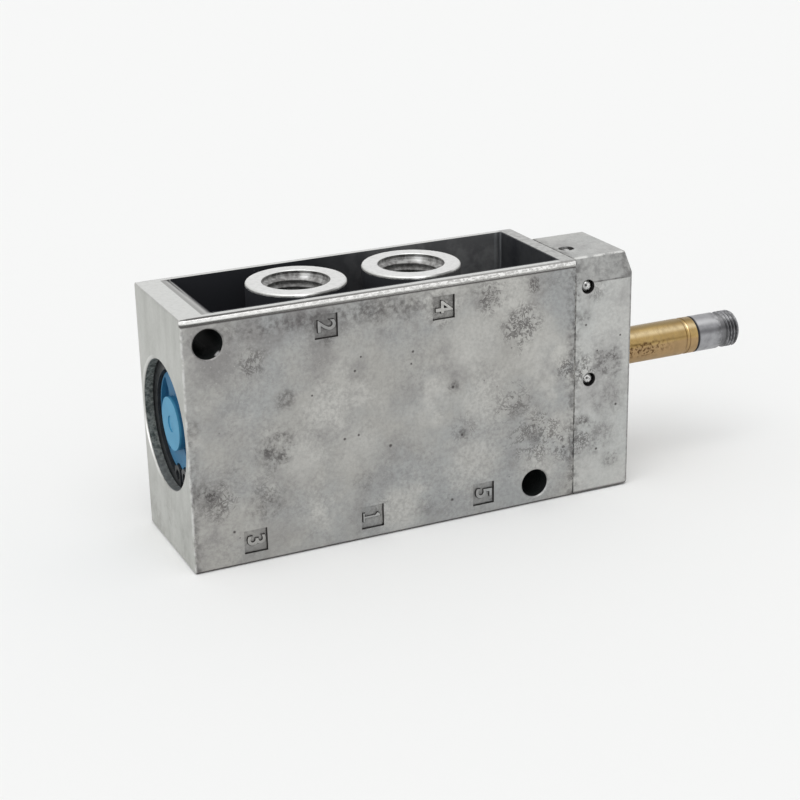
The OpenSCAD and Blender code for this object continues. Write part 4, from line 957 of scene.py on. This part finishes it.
def pick(*pieces):
    """Selects these pieces alone and works on the first."""
    bpy.ops.object.select_all(action="DESELECT")
    for piece in pieces:
        piece.select_set(True)
    bpy.context.view_layer.objects.active = pieces[0]


def smooth(piece, degrees):
    pick(piece)
    bpy.ops.object.shade_smooth_by_angle(angle=math.radians(degrees))


def dress(piece, material):
    """Gives a new piece its finish and lets it move with the valve."""
    paint(piece, material)
    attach(piece, BODY)


def cut_port_threads(material):
    """The G1/4 threads inside the five ports."""
    pitch = 1.337
    minor_r = 5.72
    start = 0.4
    sunk = 0.04
    half, crest = 0.45 * pitch, 0.12 * pitch
    turns = (PORT_DEPTH - start - 2 * half) / pitch
    profile = ((PORT_R + sunk, -half), (minor_r + 0.08, -crest), (minor_r, 0),
               (minor_r + 0.08, crest), (PORT_R + sunk, half))
    for number, port in enumerate(PORTS, 1):
        ridge = thread_ridge("port_thread_%d" % number, profile, pitch, turns)
        if port.z > RIM_Z / 2:
            end_in_front = Matrix.Rotation(-math.pi / 2 - 2 * math.pi * turns, 4, "Z")
            place = Matrix.Translation((port.x, port.y, port.z - start - half - pitch * turns)) @ end_in_front
        else:
            place = Matrix.Translation((port.x, port.y, port.z + start + half))
        settle(ridge, place)
        smooth(ridge, 40)
        dress(ridge, material)


def thread_core(material):
    """The steel core with its cut tip thread, its undercut and its tapped exhaust hole."""
    plug_r = TUBE_R - 0.52
    collar = X_TUBE_END + RING_GAP
    thread = X_TIP - THREAD_L
    undercut, undercut_w = 0.45, 0.7
    depth = 0.44
    nose = 1.1
    exhaust_r, exhaust_l = 2.5, 5.0
    bleed_r = 0.6
    neck_x, neck_w = X_TUBE_END - SEAM_FROM_END, 0.62
    profile = (
        (core_low.x, bleed_r), (core_low.x, plug_r - 0.2), (core_low.x + 0.2, plug_r),
        (neck_x - neck_w, plug_r), (neck_x - neck_w / 3, plug_r - 0.25),
        (neck_x + neck_w / 3, plug_r - 0.25), (neck_x + neck_w, plug_r), (collar, plug_r),
        (collar, TUBE_R - 0.1), (collar + 0.1, TUBE_R),
        (thread - undercut_w - 0.15, TUBE_R), (thread - undercut_w, TUBE_R - 0.1),
        (thread - undercut_w + 0.05, TUBE_R - undercut), (thread - 0.05, TUBE_R - undercut),
        (thread + 0.1, TUBE_R - depth), (X_TIP - nose, TUBE_R - depth), (X_TIP - 0.8 * nose, TUBE_R - 0.12),
        (X_TIP - 0.55 * nose, TUBE_R - 0.22), (X_TIP - 0.25 * nose, TUBE_R - 0.55 * nose),
        (X_TIP, TUBE_R - nose), (X_TIP, exhaust_r + 0.25), (X_TIP - 0.25, exhaust_r),
        (X_TIP - exhaust_l, exhaust_r), (X_TIP - exhaust_l, bleed_r))
    core = lathe_x("threaded_core", profile)
    settle(core, Matrix.Translation((0, 0, TUBE_Z)))
    pitch = 0.75
    half, crest = 0.46 * pitch, 0.1 * pitch
    turns = (THREAD_L - nose - 0.1) / pitch
    ridge = thread_ridge("tip_ridge", ((TUBE_R - depth - 0.03, -half), (TUBE_R - depth - 0.03, half),
                                       (TUBE_R, crest), (TUBE_R, -crest)), pitch, turns, 64)
    along_x = Matrix.Rotation(math.pi / 2, 4, "Y")
    settle(ridge, Matrix.Translation((thread + half + 0.05, 0, TUBE_Z)) @ along_x)
    inner = thread_ridge("exhaust_ridge", ((exhaust_r + 0.03, -0.36), (exhaust_r - 0.38, -0.08),
                                           (exhaust_r - 0.38, 0.08), (exhaust_r + 0.03, 0.36)), 0.8, 4.5, 48)
    settle(inner, Matrix.Translation((X_TIP - 4.4, 0, TUBE_Z)) @ along_x)
    pick(core, ridge, inner)
    bpy.ops.object.join()
    smooth(core, 35)
    dress(core, material)
    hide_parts("fixed_core")


def free_coil(name, node, material):
    """A spring copied from the frame as one piece: smoothed, closed, given its finish, and shown in place of
    the frame's node.
    """
    coil = bpy.data.objects.new(name, frame["nodes"][node].data.copy())
    bpy.context.scene.collection.objects.link(coil)
    smooth(coil, 40)
    edit(close_shell)
    paint(coil, material)
    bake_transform(coil)
    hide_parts(node)


def drawn_one(name, slope):
    """The figure 1 with its foot and its short flag, drawn flat and raised with sloping sides."""
    half_foot, foot_h, half_stem = 0.98, 0.5, 0.26
    low, height = -2.05, 3.8
    flag_out, flag_drop, flag_foot, buried = 0.8, 0.6, 1.1, 0.1
    top, shoulder = low + height, low + foot_h
    outline = ((-half_foot, low), (half_foot, low), (half_foot, shoulder), (half_stem, shoulder),
               (half_stem, top), (-0.1, top), (-flag_out, top - flag_drop), (-half_stem, top - flag_foot),
               (-half_stem, shoulder), (-half_foot, shoulder))
    piece = drawn_loop(name, [(x, y, -buried) for x, y in outline])

    def rise():
        bpy.ops.mesh.edge_face_add()
        step = (DIGIT_STAND - slope + buried) * MM
        bpy.ops.mesh.extrude_region_move(TRANSFORM_OT_translate={"value": (0, 0, step)})
        bpy.ops.mesh.inset(thickness=slope * MM, depth=slope * MM)

    edit(rise)
    return piece


def typed_figure(name, number, slope):
    """A figure from the built-in letters, raised with the same sloping sides."""
    size, fatten = 5.0, 0.03
    bpy.ops.object.select_all(action="DESELECT")
    bpy.ops.object.text_add()
    digit = bpy.context.object
    digit.name = name
    digit.data.body = str(number)
    digit.data.size = size * MM
    digit.data.extrude = (DIGIT_STAND - slope) * MM
    digit.data.bevel_depth = slope * MM
    digit.data.bevel_resolution = 0
    digit.data.offset = fatten * MM
    digit.data.align_x = "CENTER"
    digit.data.align_y = "CENTER"
    bpy.ops.object.convert(target="MESH")
    return digit


def raise_numbers(material):
    """The port numbers, standing in their recesses with their tops towards the pilot end."""
    slope = 0.13
    turned_up = Matrix.Rotation(math.pi / 2, 4, "Y") @ Matrix.Rotation(math.pi / 2, 4, "X")
    for number, place_x, place_z in NUMBER_PLACES:
        name = "number_%d" % number
        digit = drawn_one(name, slope) if number == 1 else typed_figure(name, number, slope)
        place = Matrix.Translation((place_x + NUMBER_SHIFT, FRONT + NUMBER_DEPTH, place_z))
        settle(digit, place @ turned_up)
        edit(close_shell)
        dress(digit, material)


place_camera()
light_scene()
lay_floor()
finishes = finish_frame()
cut_port_threads(finishes["body_casting"])
thread_core(finishes["core_steel"])
free_coil("return_coil", "return_spring", finishes["spring_steel"])
free_coil("armature_coil", "armature_spring", finishes["spring_steel"])
raise_numbers(digit_casting())

bpy.context.scene.view_settings.view_transform = "Standard"
